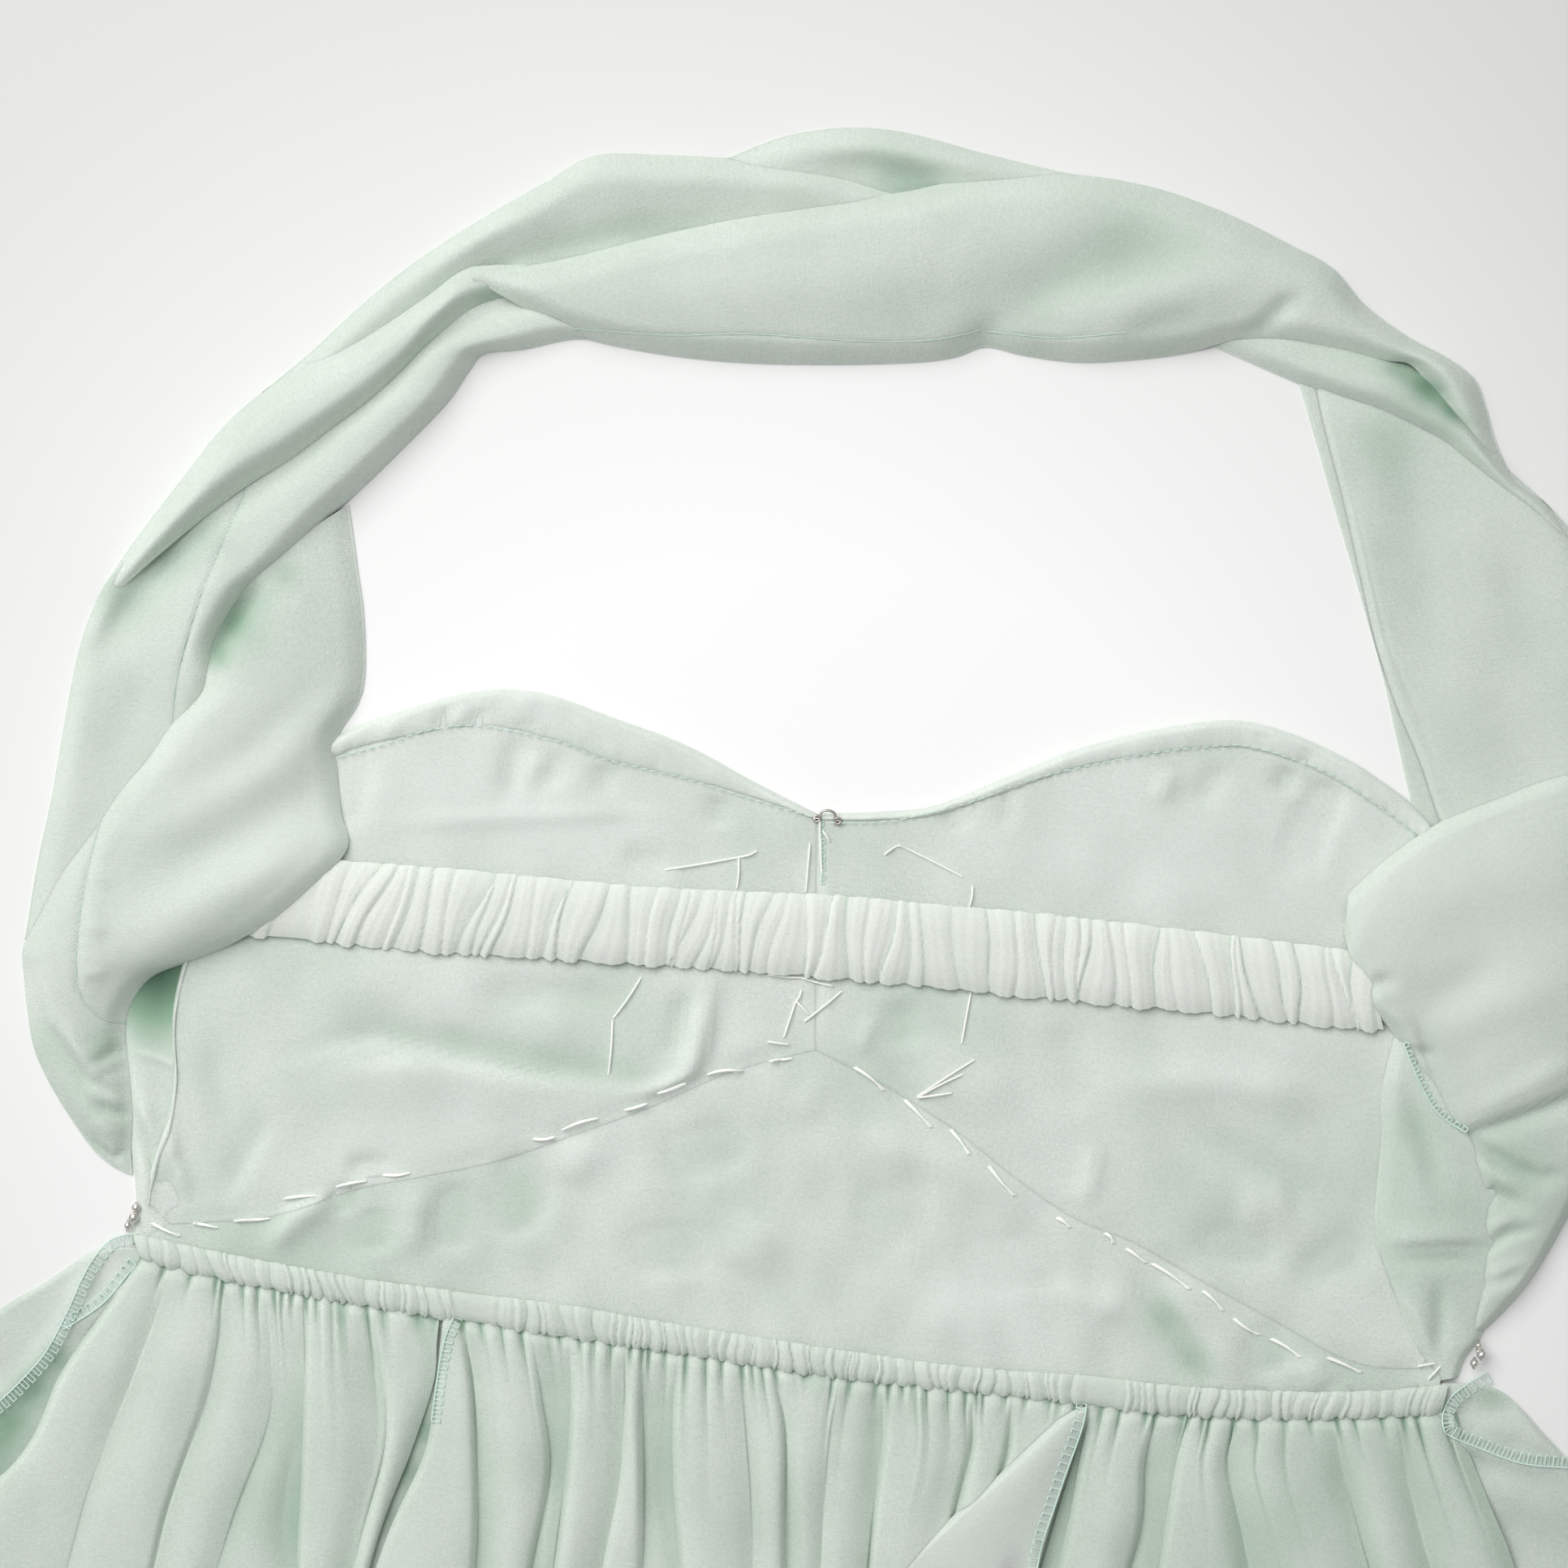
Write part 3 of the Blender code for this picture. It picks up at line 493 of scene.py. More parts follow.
bodiceRightRows = (
    (-1.2, 304.6, -7.8, 365.1, 1.5), (10, 300.5, 6, 367, 2), (22, 295.5, 22, 370.5, 2.5),
    (38, 287.5, 40, 380, 4), (54, 277.5, 58, 389.5, 5), (70, 269, 78, 397, 6.5), (86, 264.5, 97, 401.3, 7),
    (99, 259, 112, 399.5, 6.5), (111, 254, 126, 395, 6.5), (120, 250.3, 136, 390.2, 6.5),
    (127, 247.4, 145, 384.8, 6), (132, 245.3, 153, 377, 5), (138, 242.7, 163, 355, 4),
    (145, 240.5, 166, 325, 3), (153, 239.5, 166, 295, 3), (164, 240.5, 168, 262, 3),
)
bodiceCreases = (
    (-0.2, 0.9, 1.3, -7.8, 369, -5.2, 346, -2.2, 322, -1.2, 300),
    (0.25, 1.4, 1.8, -5.4, 369, -3, 346, 0.4, 322, 1, 300),
    (-0.3, 1.4, 2.4, -165, 256, -162.5, 250, -159, 244), (0.8, 2, 3, -165.5, 268, -163, 258, -156, 247),
    (-0.9, 4.6, 1.6, -146, 284, -126, 292, -112, 295.6, -94, 293.8, -70, 291.8, -46, 291.3, -35, 294),
    (1.2, 2.6, 9, -134, 282, -104, 289, -70, 287.2, -42, 286.6),
    (2, 2.4, 2.6, -30, 325, -31, 310, -32, 300, -33, 294, -41, 289, -52, 288),
    (-1, 3.5, 3, -36, 318, -37, 304, -39, 296), (-0.7, 3, 6, -138, 276, -144, 262, -151, 244),
    (-0.6, 3, 5, -158, 290, -153, 276, -147, 262), (-0.9, 3, 4, -120, 261, -105, 262),
    (-0.9, 4, 5, -95, 308, -70, 312, -48, 311), (0.8, 8, 8, -140, 305, -110, 309, -80, 305),
    (-0.9, 3.2, 3.2, -87, 379, -87, 369, -88, 357), (-0.9, 2.6, 3, -75, 376, -76, 369, -83, 362),
    (0.6, 2.6, 2.6, -81, 374, -81, 362), (-0.8, 3, 3, -63, 373, -63, 363), (-0.8, 3, 3, -34, 368, -32, 358),
    (-0.9, 4, 4, -58, 350, -42, 347), (0.5, 2.2, 2.2, -127, 349, -90, 355, -59, 360, -38, 361),
    (-1.2, 5, 5, -128, 372, -129, 356, -126, 345), (0.65, 2, 3, 73, 291, 74, 280, 71, 270),
    (-0.8, 6, 7, 61, 323, 65, 308, 69, 293), (1, 5, 6, 66, 304, 102, 308, 142, 308),
    (-0.8, 6, 5, 98, 268, 118, 266, 128, 264), (-0.9, 7, 6, 124, 258, 134, 263, 141, 268, 148, 278),
    (-1, 4, 4, 96, 297, 123, 286, 140, 274), (0.9, 7, 7, 110, 276, 128, 280),
    (0.5, 2, 2.6, 13, 317, 10, 303), (0.9, 8, 7, 20, 306, 40, 300, 58, 300), (-0.8, 5, 5, 18, 322, 24, 306),
    (0.8, 2.2, 2.6, 82, 388, 80, 377), (-0.7, 3, 3, 96, 391, 90, 378), (-1, 2.6, 3, 113, 392, 111, 383),
    (-1.4, 4, 5, 125, 390, 120, 375), (-0.9, 3.4, 3.4, 30, 373, 26, 364), (-0.5, 2, 2.4, 41, 380, 41, 365),
    (-0.9, 7, 7, 110, 373, 127, 371), (0.5, 7, 7, 70, 352, 110, 356),
)
# Spots of painted light and painted shade on the bodice, such as the shade above its long fold: x, y, radius,
# amount.
bodicePaintedSpots = (
    (-90, 360, 50, 0.4), (-105, 275, 24, 0.3), (-120, 312, 34, -0.25), (-60, 306, 24, -0.15),
    (-94, 296, 6, -0.3), (-108, 297, 6, -0.2), (-82, 294.5, 6, -0.25), (-70, 293.5, 6, -0.25),
    (-58, 293, 5, -0.2), (-48, 293.5, 5, -0.2), (-158, 286, 10, -0.15), (60, 360, 45, 0.25),
    (120, 350, 34, 0.35), (115, 295, 40, -0.1), (30, 320, 30, -0.2),
)
facingCreases = (
    (-1, 1.8, 2.2, -105, 383, -108, 375), (-1, 1.8, 2.2, -96, 384, -98, 377),
    (0.8, 1.8, 1.8, -101, 384, -103, 377), (0.7, 2.4, 2.4, -117, 379, -121, 372),
    (0.5, 3, 3, -88, 388, -86, 379), (-0.6, 2, 2, 118, 397, 115, 391), (-0.6, 2, 2, 104, 400, 104, 394),
)


def bodiceLift(x, y):
    return creaseLift(x, y, bodiceCreases) * 2.0


def bodiceTop(x, y):
    # height of the bodice cloth, which the band, the facing and the stitches lie on
    return 2.05 + bodiceLift(x, y) + wobble(x, y, 26, 0.7)


def addBodice(side, rows):
    table = np.array(rows, float)

    def cloth(across, along):
        seamX, seamY, neckX, neckY, _ = throughRows(table, across).T
        edge = crowded(along, 0.5)
        x, y = between(seamX, neckX, edge), between(seamY, neckY, edge)
        long = np.hypot(neckX - seamX, neckY - seamY)
        toSeam, toNeck = edge * long, (1 - edge) * long
        z = np.maximum(bodiceTop(x, y), 0.7)
        z = between(z, np.maximum(insetTop(x, y), 0.65) + 0.08, bell(toSeam, 4))
        turned = np.clip((-150 - x) / 6, 0, 1)  # the side fold of the left front stands up a little
        z += 0.3 * turned * bell(toNeck, 5)
        z = rolled(z, 0.3 + 1.7 * turned, toNeck, 1.4)
        # painted shade along the inset seam and on the turned-up edge of the left front, where it dulls the
        # highlight; painted light and shade from the bodice's spots and creases
        shade = 0.12 * bell(toSeam, 0.8) + 0.4 * turned * bell(toNeck, 2)
        return x, y, z, x, y, paintedShadingAt(x, y, bodicePaintedSpots) + 0.06 * bodiceLift(x, y) - shade

    def facing(across, along):
        seamX, seamY, neckX, neckY, reach = throughRows(table, across).T
        long = np.hypot(neckX - seamX, neckY - seamY)
        share = 1 - reach * (1 - along) / long + 0.35 * along / long
        x, y = between(seamX, neckX, share), between(seamY, neckY, share)
        pucker = np.sin(x * 1.9 + 0.8 * np.sin(x * 0.31)) * bell(along - 0.15, 0.2)
        puff = np.sin(math.pi * np.clip(along * 1.05, 0, 1)) ** 0.8
        lift = creaseLift(x, y, facingCreases)
        z = np.maximum(bodiceTop(x, y), 0.8) + wobble(x, y, 9, 0.35) + lift
        z += 0.12 + 0.75 * puff + 0.2 * pucker
        z = rolled(z, 0.3, (1 - along) * reach, 1.8)
        z = rolled(z, z - 0.5, along * reach, 0.6)
        # the facing is painted lighter, partly for its extra layer and partly as painted light; painted shade
        # along its lower edge, and painted light and shade in its creases
        return x, y, z, x, y, 0.3 - 0.35 * bell(along, 0.16) + 0.1 * lift

    front, strip = f"bodice_{side}_cloth", f"neck_facing_{side}_cloth"
    for name, node, form, steps, flat, on in (
        (front, f"bodice_front_{side}", cloth, (130, 88), (165, 135), "floor"),
        (strip, f"neck_facing_{side}", facing, (150, 16), (170, 10), front),
    ):
        addCloth(name, [(steps, form)], crepeLined, flat, "laid", [on], [node])


addBodice("left", bodiceLeftRows)
addBodice("right", bodiceRightRows)
print("bodice: two fronts and their neck facings")


# Lines across the waist: the bodice seam, and the upper and lower edge of the waist casing.
seamLine = [inset["left"], *(row[:2] for row in bodiceLeftRows + bodiceRightRows), inset["right"]]
casingTop = (
    (-171, 237.6), (-147, 235.2), (-126, 233.7), (-109, 232.6), (-87, 232.3), (-70, 232.1), (-53, 231.7),
    (-35, 230.5), (-18, 229.7), (11, 228.5), (37, 227.7), (58, 228), (80, 229.2), (95, 228.9), (115, 229.5),
    (138, 231.6), (153, 233.6), (171, 237.3),
)
casingLow = (
    (-168, 231), (-158, 229.6), (-141, 227.8), (-125, 226.8), (-108, 225.7), (-88, 224.7), (-65, 224),
    (-43, 223.2), (-24, 222.7), (-12, 222.1), (4, 221.4), (17, 221.2), (38, 221.2), (64, 221.8),
    (87, 220.8), (103, 221.6), (122, 222.8), (141, 225), (156, 227.1), (170, 229.4),
)


def insetForm(across, along):
    # the inset reaches under the casing below it and under the bodice above it
    x = between(inset["left"][0], inset["right"][0], across)
    low = heightOn(casingTop, x) - 4
    y = between(low, np.maximum(heightOn(seamLine, x) + 2.5, low + 1), along)
    z = np.maximum(insetTop(x, y), 0.65)
    # painted light and shade from the inset's spots, painted shade in its creases and painted light on its
    # ridges
    return x, y, z, x, y, paintedShadingAt(x, y, inset["tones"]) + 0.06 * insetLift(x, y)


grids = [((170, 44), insetForm)]
addCloth("midriff_inset_cloth", grids, crepeLined, (322, 50), "laid", ["floor"])
print("inset laid")


# The gathered bust band and the waist casing: their two edges, how their gathers run, and the
# patches where they have none.
bandLow = ((-150, 317.4), (-100, 318.6), (-50, 321.5), (0, 323.6), (55, 324.6), (99, 325.6), (144, 326))
bandTop = ((-142, 339), (-98, 340.6), (-50, 341.5), (0, 345), (54, 346.3), (98, 346.3), (137, 345.8))
band = {
    "low": bandLow, "top": bandTop, "base": 3.3, "body": 2.1, "ridge": 1.25,
    "gathers": 58, "uneven": 0.75, "slant": 0.75, "seed": 11, "patches": (-139,),
}
casing = {
    "low": casingLow, "top": casingTop, "base": 2.6, "body": 1.2, "ridge": 1.1,
    "gathers": 122, "uneven": 0.7, "slant": 0.3, "seed": 5, "patches": (-81, 82.5),
}
patchReach = 6.5


def unevenShares(draw, count, uneven):
    widths = [1 + uneven * draw.uniform(-1, 1) for _ in range(count)]
    return np.concatenate([[0], np.cumsum(widths)]) / sum(widths)


def gatherPlaces(spec):
    # where the gathers lie along the elastic, how they slant, how high they are and which side is
    # the steep one: uneven, but the same each run
    draw = random.Random(spec["seed"])
    count = spec["gathers"]
    places = unevenShares(draw, count, spec["uneven"])
    slants = [spec["slant"] * draw.uniform(-1, 1) / count for _ in places]
    heights = [draw.uniform(0.5, 1.0) for _ in range(count)]
    steep = [draw.random() < 0.4 for _ in range(count)]
    return places, np.array(slants), np.array(heights), np.array(steep)


def gatheredForm(spec):
    places, slants, heights, steep = gatherPlaces(spec)
    low, top, ridge = spec["low"], spec["top"], spec["ridge"]

    def form(across, along):
        lowX = between(low[0][0], low[-1][0], across)
        topX = between(top[0][0], top[-1][0], across)
        edge = crowded(along, 0.5)
        x = between(lowX, topX, edge)
        y = between(heightOn(low, lowX), heightOn(top, topX), edge)
        turn = across + 0.152 * np.sin(edge * 4.2 + across * 70) / spec["gathers"]
        cell = np.zeros(across.shape, int)
        for place, slant in zip(places[1:-1], slants[1:-1]):
            cell += (turn > place + slant * (edge - 0.5)).astype(int)
        left = places[cell] + slants[cell] * (edge - 0.5)
        right = places[cell + 1] + slants[cell + 1] * (edge - 0.5)
        share = np.clip((turn - left) / (right - left), 0, 1)
        share = np.where(steep[cell], 1 - share, share)
        full = np.ones(across.shape)
        for patch in spec["patches"]:
            full *= np.clip(np.abs(x - patch) / patchReach, 0, 1) ** 4
        wave = 2.0 * share**1.3 * (1 - share) ** 0.5 * heights[cell] * full
        wave += 0.12 * np.sin(share * 9 + cell) ** 2 * np.sin(math.pi * share) * full
        lip = np.abs(2 * edge - 1) ** 3
        z = spec["base"] + spec["body"] * (1 - lip) + ridge * wave * (1 - 0.45 * lip)
        outward = (wave - 0.3) * ridge * (0.9 + 0.5 * lip)  # the lip of each edge waves with its gathers
        y += outward * 0.35 * np.clip(edge * 3 - 2, 0, 1) - outward * np.clip(1 - edge * 3, 0, 1)
        # painted light over the elastic and on the gathers' crests, and a painted dark line of shade in the
        # fold between each two gathers
        shade = 0.12 + 0.3 * wave - 0.75 * bell(share, 0.07) * heights[cell] * full
        return x, y, z, x * 1.8, y, shade

    return form


for name, steps, spec, finish, flat, on in (
    ("back_band_cloth", (620, 20), band, crepeBand, (300, 24), "bodice_left_cloth"),
    ("waist_casing_cloth", (920, 12), casing, crepeSkirt, (345, 10), "midriff_inset_cloth"),
):
    addCloth(name, [(steps, gatheredForm(spec))], finish, flat, "gathered", [on])
print("band and casing gathered")


# The skirt. Each line across it: its y at the centre, the x and y where it reaches the silhouette,
# the left and right x where the upper layer stops, and the y there.
skirtLines = (
    (224, 169.5, 236, -168, 174, 228.5), (217, 181, 234.5, -174.5, 179, 222.5),
    (206, 193, 225, -182.5, 186, 214), (187, 206, 214, -191, 197, 200), (160, 226, 190, -197, 210, 176),
    (106, 254, 152, -228, 242, 143), (3, 293, 59, -275, 283, 52), (-124, 320, -65, -308, 311, -70),
    (-224, 334, -164, -326, 326, -169), (-324, 346, -263, -339, 339, -268),
    (-414, 356, -352, -350, 350, -357),
)
hemLines = (
    (-413, 356, -351, -350, 350, -356), (-455, 362, -391, -357, 357, -396),
    (-500, 372, -434, -368, 368, -438), (-543, 385, -474, -381.5, 381.5, -478),
)

# The folds of the upper layer, one row for each crease: its x at the first four levels down from
# the waist, its share of the way across the hem, the height of the cloth to the right of it and how
# far that leans (less than nothing leans it to the left), how deep the crease is, and which side of
# it is crisp (1 the right, -1 the left, 2 both, 0 none).
leftFolds = (
    (-168.5, -182.5, -191, -200, 0, 1.8, -1.2, 1.6, 1), (-160, -165, -170.5, -178, 0.05, 1.8, 1.2, 0.8, 0),
    (-147, -146.3, -149, -156, 0.09, 1.4, 1.2, 1.4, -1),
    (-135.5, -131, -130.8, -139.5, 0.135, 0.2, 1, 1, 0),
    (-126, -123, -121.2, -119.8, 0.17, 2.6, -1.5, 2.8, 1),
    (-108, -102.5, -100, -105, 0.21, 1.8, 1.4, 1.6, 1), (-90, -89.4, -93.8, -100.5, 0.25, 0, 1, 1.6, 0),
)
centreFolds = (
    (-88.8, -88.9, -89.9, -99, 0.252, 2.4, 1.4, 1.2, 1),
    (-84.5, -78.3, -75.5, -73.2, 0.285, 2.6, 1.2, 2.6, -1),
    (-67.6, -61.3, -56.8, -58.8, 0.315, 0.8, 1, 2, -1),
    (-56.2, -53.4, -53, -53.5, 0.345, 2.8, -1.3, 2.4, 1), (-42, -39.8, -38.8, -41, 0.375, 1.8, 1, 1.4, 1),
    (-36.4, -34.8, -32.5, -30, 0.395, 0.8, 1, 1.9, -1), (-28, -27, -24.6, -20, 0.425, 3, -1.3, 2.4, 1),
    (-12.3, -8.2, -4.6, -1, 0.46, 1.8, 1.2, 1.3, 0), (-4, 2.6, 4.8, 7, 0.49, 2.2, 1, 2.5, -1),
    (14.8, 13.6, 14.4, 16, 0.52, 1.6, 1, 1.2, 0), (25.4, 27.6, 27.1, 27.4, 0.55, 3, -1.2, 2.6, 1),
    (48.3, 50.3, 48, 46, 0.59, 2, 1, 2.4, 2), (60, 59.6, 56, 54, 0.64, 1.8, 1, 2.2, 2),
    (78.4, 76, 72.4, 68.6, 0.728, 0, 1, 1, 0),
)
rightFolds = (
    (78.8, 77, 73.5, 70, 0.73, 0.5, 1, 1.6, 0), (80.8, 78.6, 77.4, 73.6, 0.745, 2.8, 1.3, 1.8, 1),
    (97, 94.9, 96.5, 92, 0.775, 0.8, 1, 2.3, -1), (106, 103.2, 102.4, 101, 0.8, 2.2, -1.2, 1.4, 1),
    (117.2, 117, 125, 132, 0.84, 2.6, -1.2, 1.8, 0), (141.6, 148.6, 156.3, 166, 0.885, 2.2, -1.2, 1.6, 0),
    (158, 165, 173, 184, 0.94, 2, 1.2, 1.3, 0), (174, 186, 197, 214, 1, 0, 1, 2.3, 0),
)
foldLevels = (228, 206, 187, 160, 110)
creaseWidths = {1: (1.0, 6.0), -1: (6.0, 1.0), 2: (1.0, 1.0), 0: (4.4, 4.4)}  # to its right and left
fan = {"from": 150, "over": 280}  # y where the folds start to fan out, and how far until they are even
deeper = {"from": 120, "over": 200, "by": 1.1}  # the folds stand higher towards the hem
gathers = {"count": 80, "uneven": 0.7, "seed": 23, "from": -168.5, "to": 174, "reaches": (4, 5, 6, 8, 12, 22)}

# Height of the cloth at the ruffle's seam, how near the seam the skirt flattens to it, and how far
# down the ruffle rises from it.
hemSeam = {"skirt": 5.5, "back": 5.0, "front": 1.4, "ends": 0.012, "fades": 0.07}
shadedPlaces = ((-128, 168, 16, 0.3), (-60, 190, 9, 0.2), (130, 195, 14, 0.2))


def skirtY(centreY, sideY, share):
    # y on a line across the skirt, which curves away towards its sides
    return between(centreY, sideY, share**2)


def skirtShade(x, y):
    # the skirt lies deeper in shade to the right and where the layers part
    return 0.22 * np.clip((x - 20) / 180, 0, 1) + paintedShadingAt(x, y, shadedPlaces)


def foldLines(folds):
    # x of every crease on every line across the skirt: as listed down to the picture's lower edge,
    # then running on and fanning out to an even spread at the hem
    runOn = 0.9 * (folds[:, 3] - folds[:, 2]) + folds[:, 3]
    listed = np.column_stack([folds[:, :4], runOn])
    down = [-level for level in foldLevels]
    hemShare = folds[:, 4]
    lines = []
    for centreY, _, _, leftX, rightX, sideY in skirtLines:
        x = folds[:, 0]
        for _ in range(5):  # the line across the skirt is curved, so x and y settle together
            y = skirtY(centreY, sideY, 2 * x / (rightX - leftX))
            x = np.array([np.interp(-level, down, places) for level, places in zip(y, listed)])
        x = between(x, between(leftX, rightX, hemShare), eased((fan["from"] - y) / fan["over"]))
        if centreY < fan["from"]:  # the outer edges keep to the silhouette
            x = np.where(hemShare == 0, leftX, np.where(hemShare == 1, rightX, x))
        lines.append(x)
    return lines


def waistGathers():
    # a function for the small gathers at the waist: their height and the painted shade where they are pinched
    # and between them
    draw = random.Random(gathers["seed"])
    shares = unevenShares(draw, gathers["count"], gathers["uneven"])
    starts = between(gathers["from"], gathers["to"], shares)
    reaches = np.array([draw.choice(gathers["reaches"]) * draw.uniform(0.8, 1.25) for _ in shares[1:]])
    heights = np.array([draw.uniform(0.8, 1.7) for _ in shares[1:]])

    def gathered(waistX, below):
        cell = np.clip(np.searchsorted(starts, waistX) - 1, 0, len(heights) - 1)
        span, reach, height = starts[cell + 1] - starts[cell], reaches[cell], heights[cell]
        turn = np.clip((waistX - starts[cell]) / span, 0, 1)
        aside = np.minimum(turn, 1 - turn) * span
        fade = np.exp(-((below / reach) ** 1.6))
        pinched = bell(aside, 0.5) * bell(below, 1.5 + 0.35 * reach)
        lift = height * (1.15 * (np.sin(math.pi * turn) ** 0.7 - 0.5) * fade - 0.9 * pinched)
        return lift, 0.75 * pinched + 0.25 * fade * (aside < 0.9)

    return gathered


def foldForm(folds):
    folds = np.array(folds, float)
    spread = (folds[:, 3] - folds[0, 3]) / (folds[-1, 3] - folds[0, 3])
    numbers = np.arange(len(folds))
    rightWidth, leftWidth = np.array([creaseWidths[int(crisp)] for crisp in folds[:, 8]]).T
    lines = foldLines(folds)
    gathered = waistGathers()
    waistCentreY, _, _, waistLeftX, waistRightX, waistSideY = skirtLines[0]
    waistHalf = (waistRightX - waistLeftX) / 2

    def form(across, along):
        centreY, _, _, leftX, rightX, sideY = throughRows(skirtLines, along).T
        place = np.interp(across, spread, numbers)
        cell = np.minimum(place.astype(int), len(folds) - 2)
        share = crowded(np.clip(place - cell, 0, 1), 0.55)
        each = np.arange(len(across))
        here = throughRows(lines, along)
        left, right = here[each, cell], here[each, cell + 1]
        x = between(left, right, share)
        y = skirtY(centreY, sideY, x / ((rightX - leftX) / 2))
        waistX = between(folds[cell, 0], folds[cell + 1, 0], share)
        waistY = heightOn(casingLow, waistX)
        y -= (skirtY(waistCentreY, waistSideY, waistX / waistHalf) - waistY - 1) * (1 - along) ** 8
        below = np.maximum(0, waistY - y)
        x += 0.5 * np.sin(y * 0.11 + 1.7 * cell) * np.sin(math.pi * share) * np.clip(below / 20, 0, 1)
        lean = folds[cell, 6]
        leant = np.where(lean > 0, share, 1 - share) ** np.maximum(np.abs(lean), 1)
        ridge = np.sin(math.pi * leant) ** 0.85
        crumple = 1 + 0.12 * np.sin(share * 7 + cell * 2.1 + y * 0.04) + 0.16 * np.sin(y * 0.06 + cell * 1.9)
        rise = 1 + deeper["by"] * np.clip((deeper["from"] - y) / deeper["over"], 0, 1)
        rise *= 0.12 + 0.88 * np.clip(below / 28, 0, 1)
        valley = folds[cell, 7] * bell(x - left, rightWidth[cell])
        valley += folds[cell + 1, 7] * bell(right - x, leftWidth[cell + 1])
        valley *= np.clip(below / 14, 0.15, 1) * (0.78 + 0.3 * np.sin(y * 0.07 + 2.7 * cell))
        lift, shade = gathered(waistX, below)
        z = 3.3 + 0.9 * np.clip(below / 20, 0, 1) - 1.3 * bell(below, 1.4)
        z += 0.78 * folds[cell, 5] * ridge * crumple * rise - valley + lift
        z += wobble(x, y, 30, 0.8) * np.clip(below / 25, 0, 1)
        z = between(z, hemSeam["skirt"], bell(1 - along, hemSeam["ends"]))
        # painted light along each fold's ridge, painted shade in its valleys and in the pinched gathers, and
        # painted shade over the skirt's right side and where its layers part
        tone = 0.1 * ridge - 0.13 * valley - shade - skirtShade(x, y)
        return x, y, np.maximum(z, 1.9), x * 1.1, y, tone

    return form


# The turned flap of the centre panel beside its right seam.
seamFlap = {
    "steps": (34, 60), "tones": ((58, 188, 34, 0.55),), "roll": (1.8, 0.8), "uneven": 0.3,
    "rows": (
        (78.2, 221, 79.2, 221, 3, 3, 4.2, 4.3, 4.3, 4.2, 4),
        (72.5, 217.8, 78.8, 216.5, 3.6, 3.6, 5.4, 6, 6, 5.6, 5),
        (65.2, 209.6, 76.8, 207.5, 3.8, 3.6, 6.4, 7.2, 7, 6.2, 5.2),
        (55.6, 198, 74.4, 197, 3.8, 3.6, 6.8, 7.6, 7.4, 6.4, 5.2),
        (45.8, 187, 72.4, 186.5, 3.8, 3.6, 6.8, 7.6, 7.4, 6.4, 5.2),
        (36, 174, 70.8, 176, 3.8, 3.6, 6.8, 7.4, 7.4, 6.4, 5.2),
        (30, 160, 69.5, 162, 3.6, 3.6, 6.6, 7.2, 7.2, 6.2, 5.2),
        (30, 140, 69.5, 142, 3.6, 3.6, 6, 6.6, 6.8, 6, 5),
        (36, 115, 71.5, 116, 3.5, 3.5, 5, 6, 6.2, 5.8, 4.8),
    ),
}

for side, folds, steps, width in (
    ("left", leftFolds, (170, 96), 175),
    ("centre", centreFolds, (330, 90), 330),
    ("right", rightFolds, (190, 96), 195),
):
    grids = [(steps, foldForm(folds))]
    if side == "centre":
        grids.append((seamFlap["steps"], sectioned(seamFlap)))
    name, on = f"skirt_back_{side}_cloth", ["skirt_front_cloth"]
    addCloth(name, grids, crepeSkirt, (width, 650), "gathered", on, wall=0.7)


# The skirt front reaches further out at its right end: for each line, how far right and how far up.
frontShift = ((3.5, 1.8), (4, 2.5), (4, 2.5), (3, 2), (1, 1), *((0, 0),) * 6)
frontCreases = (
    (2.2, 2.6, 2.2, -170, 239, -176, 235.6, -181, 229, -184.7, 218, -188, 208, -196, 195, -212, 180),
    (1.6, 1.6, 1.8, -168, 229, -174, 221, -182, 213, -188, 208),
    (1.2, 6, 6, -196, 214, -210, 200, -226, 186),
    (2, 1.6, 2.6, 181, 241, 174, 236, 170.8, 229, 174, 223.5, 192, 219.5, 210, 218.6),
    (-1.6, 2.6, 1.2, 172.5, 230.2, 180, 231.6, 191, 234), (1.6, 4, 4, 176, 226, 190, 228, 204, 222),
    (1.8, 5, 5, 180, 216, 194, 211, 212, 203), (-1.2, 6, 6, 184, 206, 196, 198, 214, 188),
)
# Spots of painted shade in the front's folds by its overlocked edges, and painted light on their ridges: x,
# y, radius, amount.
frontPaintedSpots = (
    (-187, 203, 4, -0.8), (-192, 195, 5, -0.9), (-197, 186, 6, -0.9), (-202, 176, 8, -0.9),
    (-176, 227, 4, 0.9), (-181, 219, 3, 0.7), (-92, 196, 5, -0.9), (-94, 184, 5, -0.9), (-98, 172, 5, -0.8),
    (182, 236, 5, -0.4), (178, 220, 3, -0.5), (76, 190, 8, -0.5),
)


def frontForm(across, along):
    centreY, halfX, sideY = throughRows(skirtLines, along)[:, :3].T
    shiftX, shiftY = throughRows(frontShift, along).T
    edge = crowded(across, 0.86)
    x = halfX * (2 * edge - 1)
    y = skirtY(centreY, sideY, x / halfX) + shiftY * (2 * edge - 1)
    x = x + shiftX * np.clip(2 * edge, 0.4, 2) / 2
    z = np.maximum(1.3 + creaseLift(x, y, frontCreases) + wobble(x, y, 45, 0.3), 0.8)
    z = rolled(z, 0.3, halfX * 2 * np.minimum(edge, 1 - edge), 2)
    return x, y, z, x, y, paintedShadingAt(x, y, frontPaintedSpots)


grids = [((110, 90), frontForm)]
addCloth("skirt_front_cloth", grids, crepeSkirt, (600, 640), "laid", ["floor"])
print("skirt: front and three back panels")


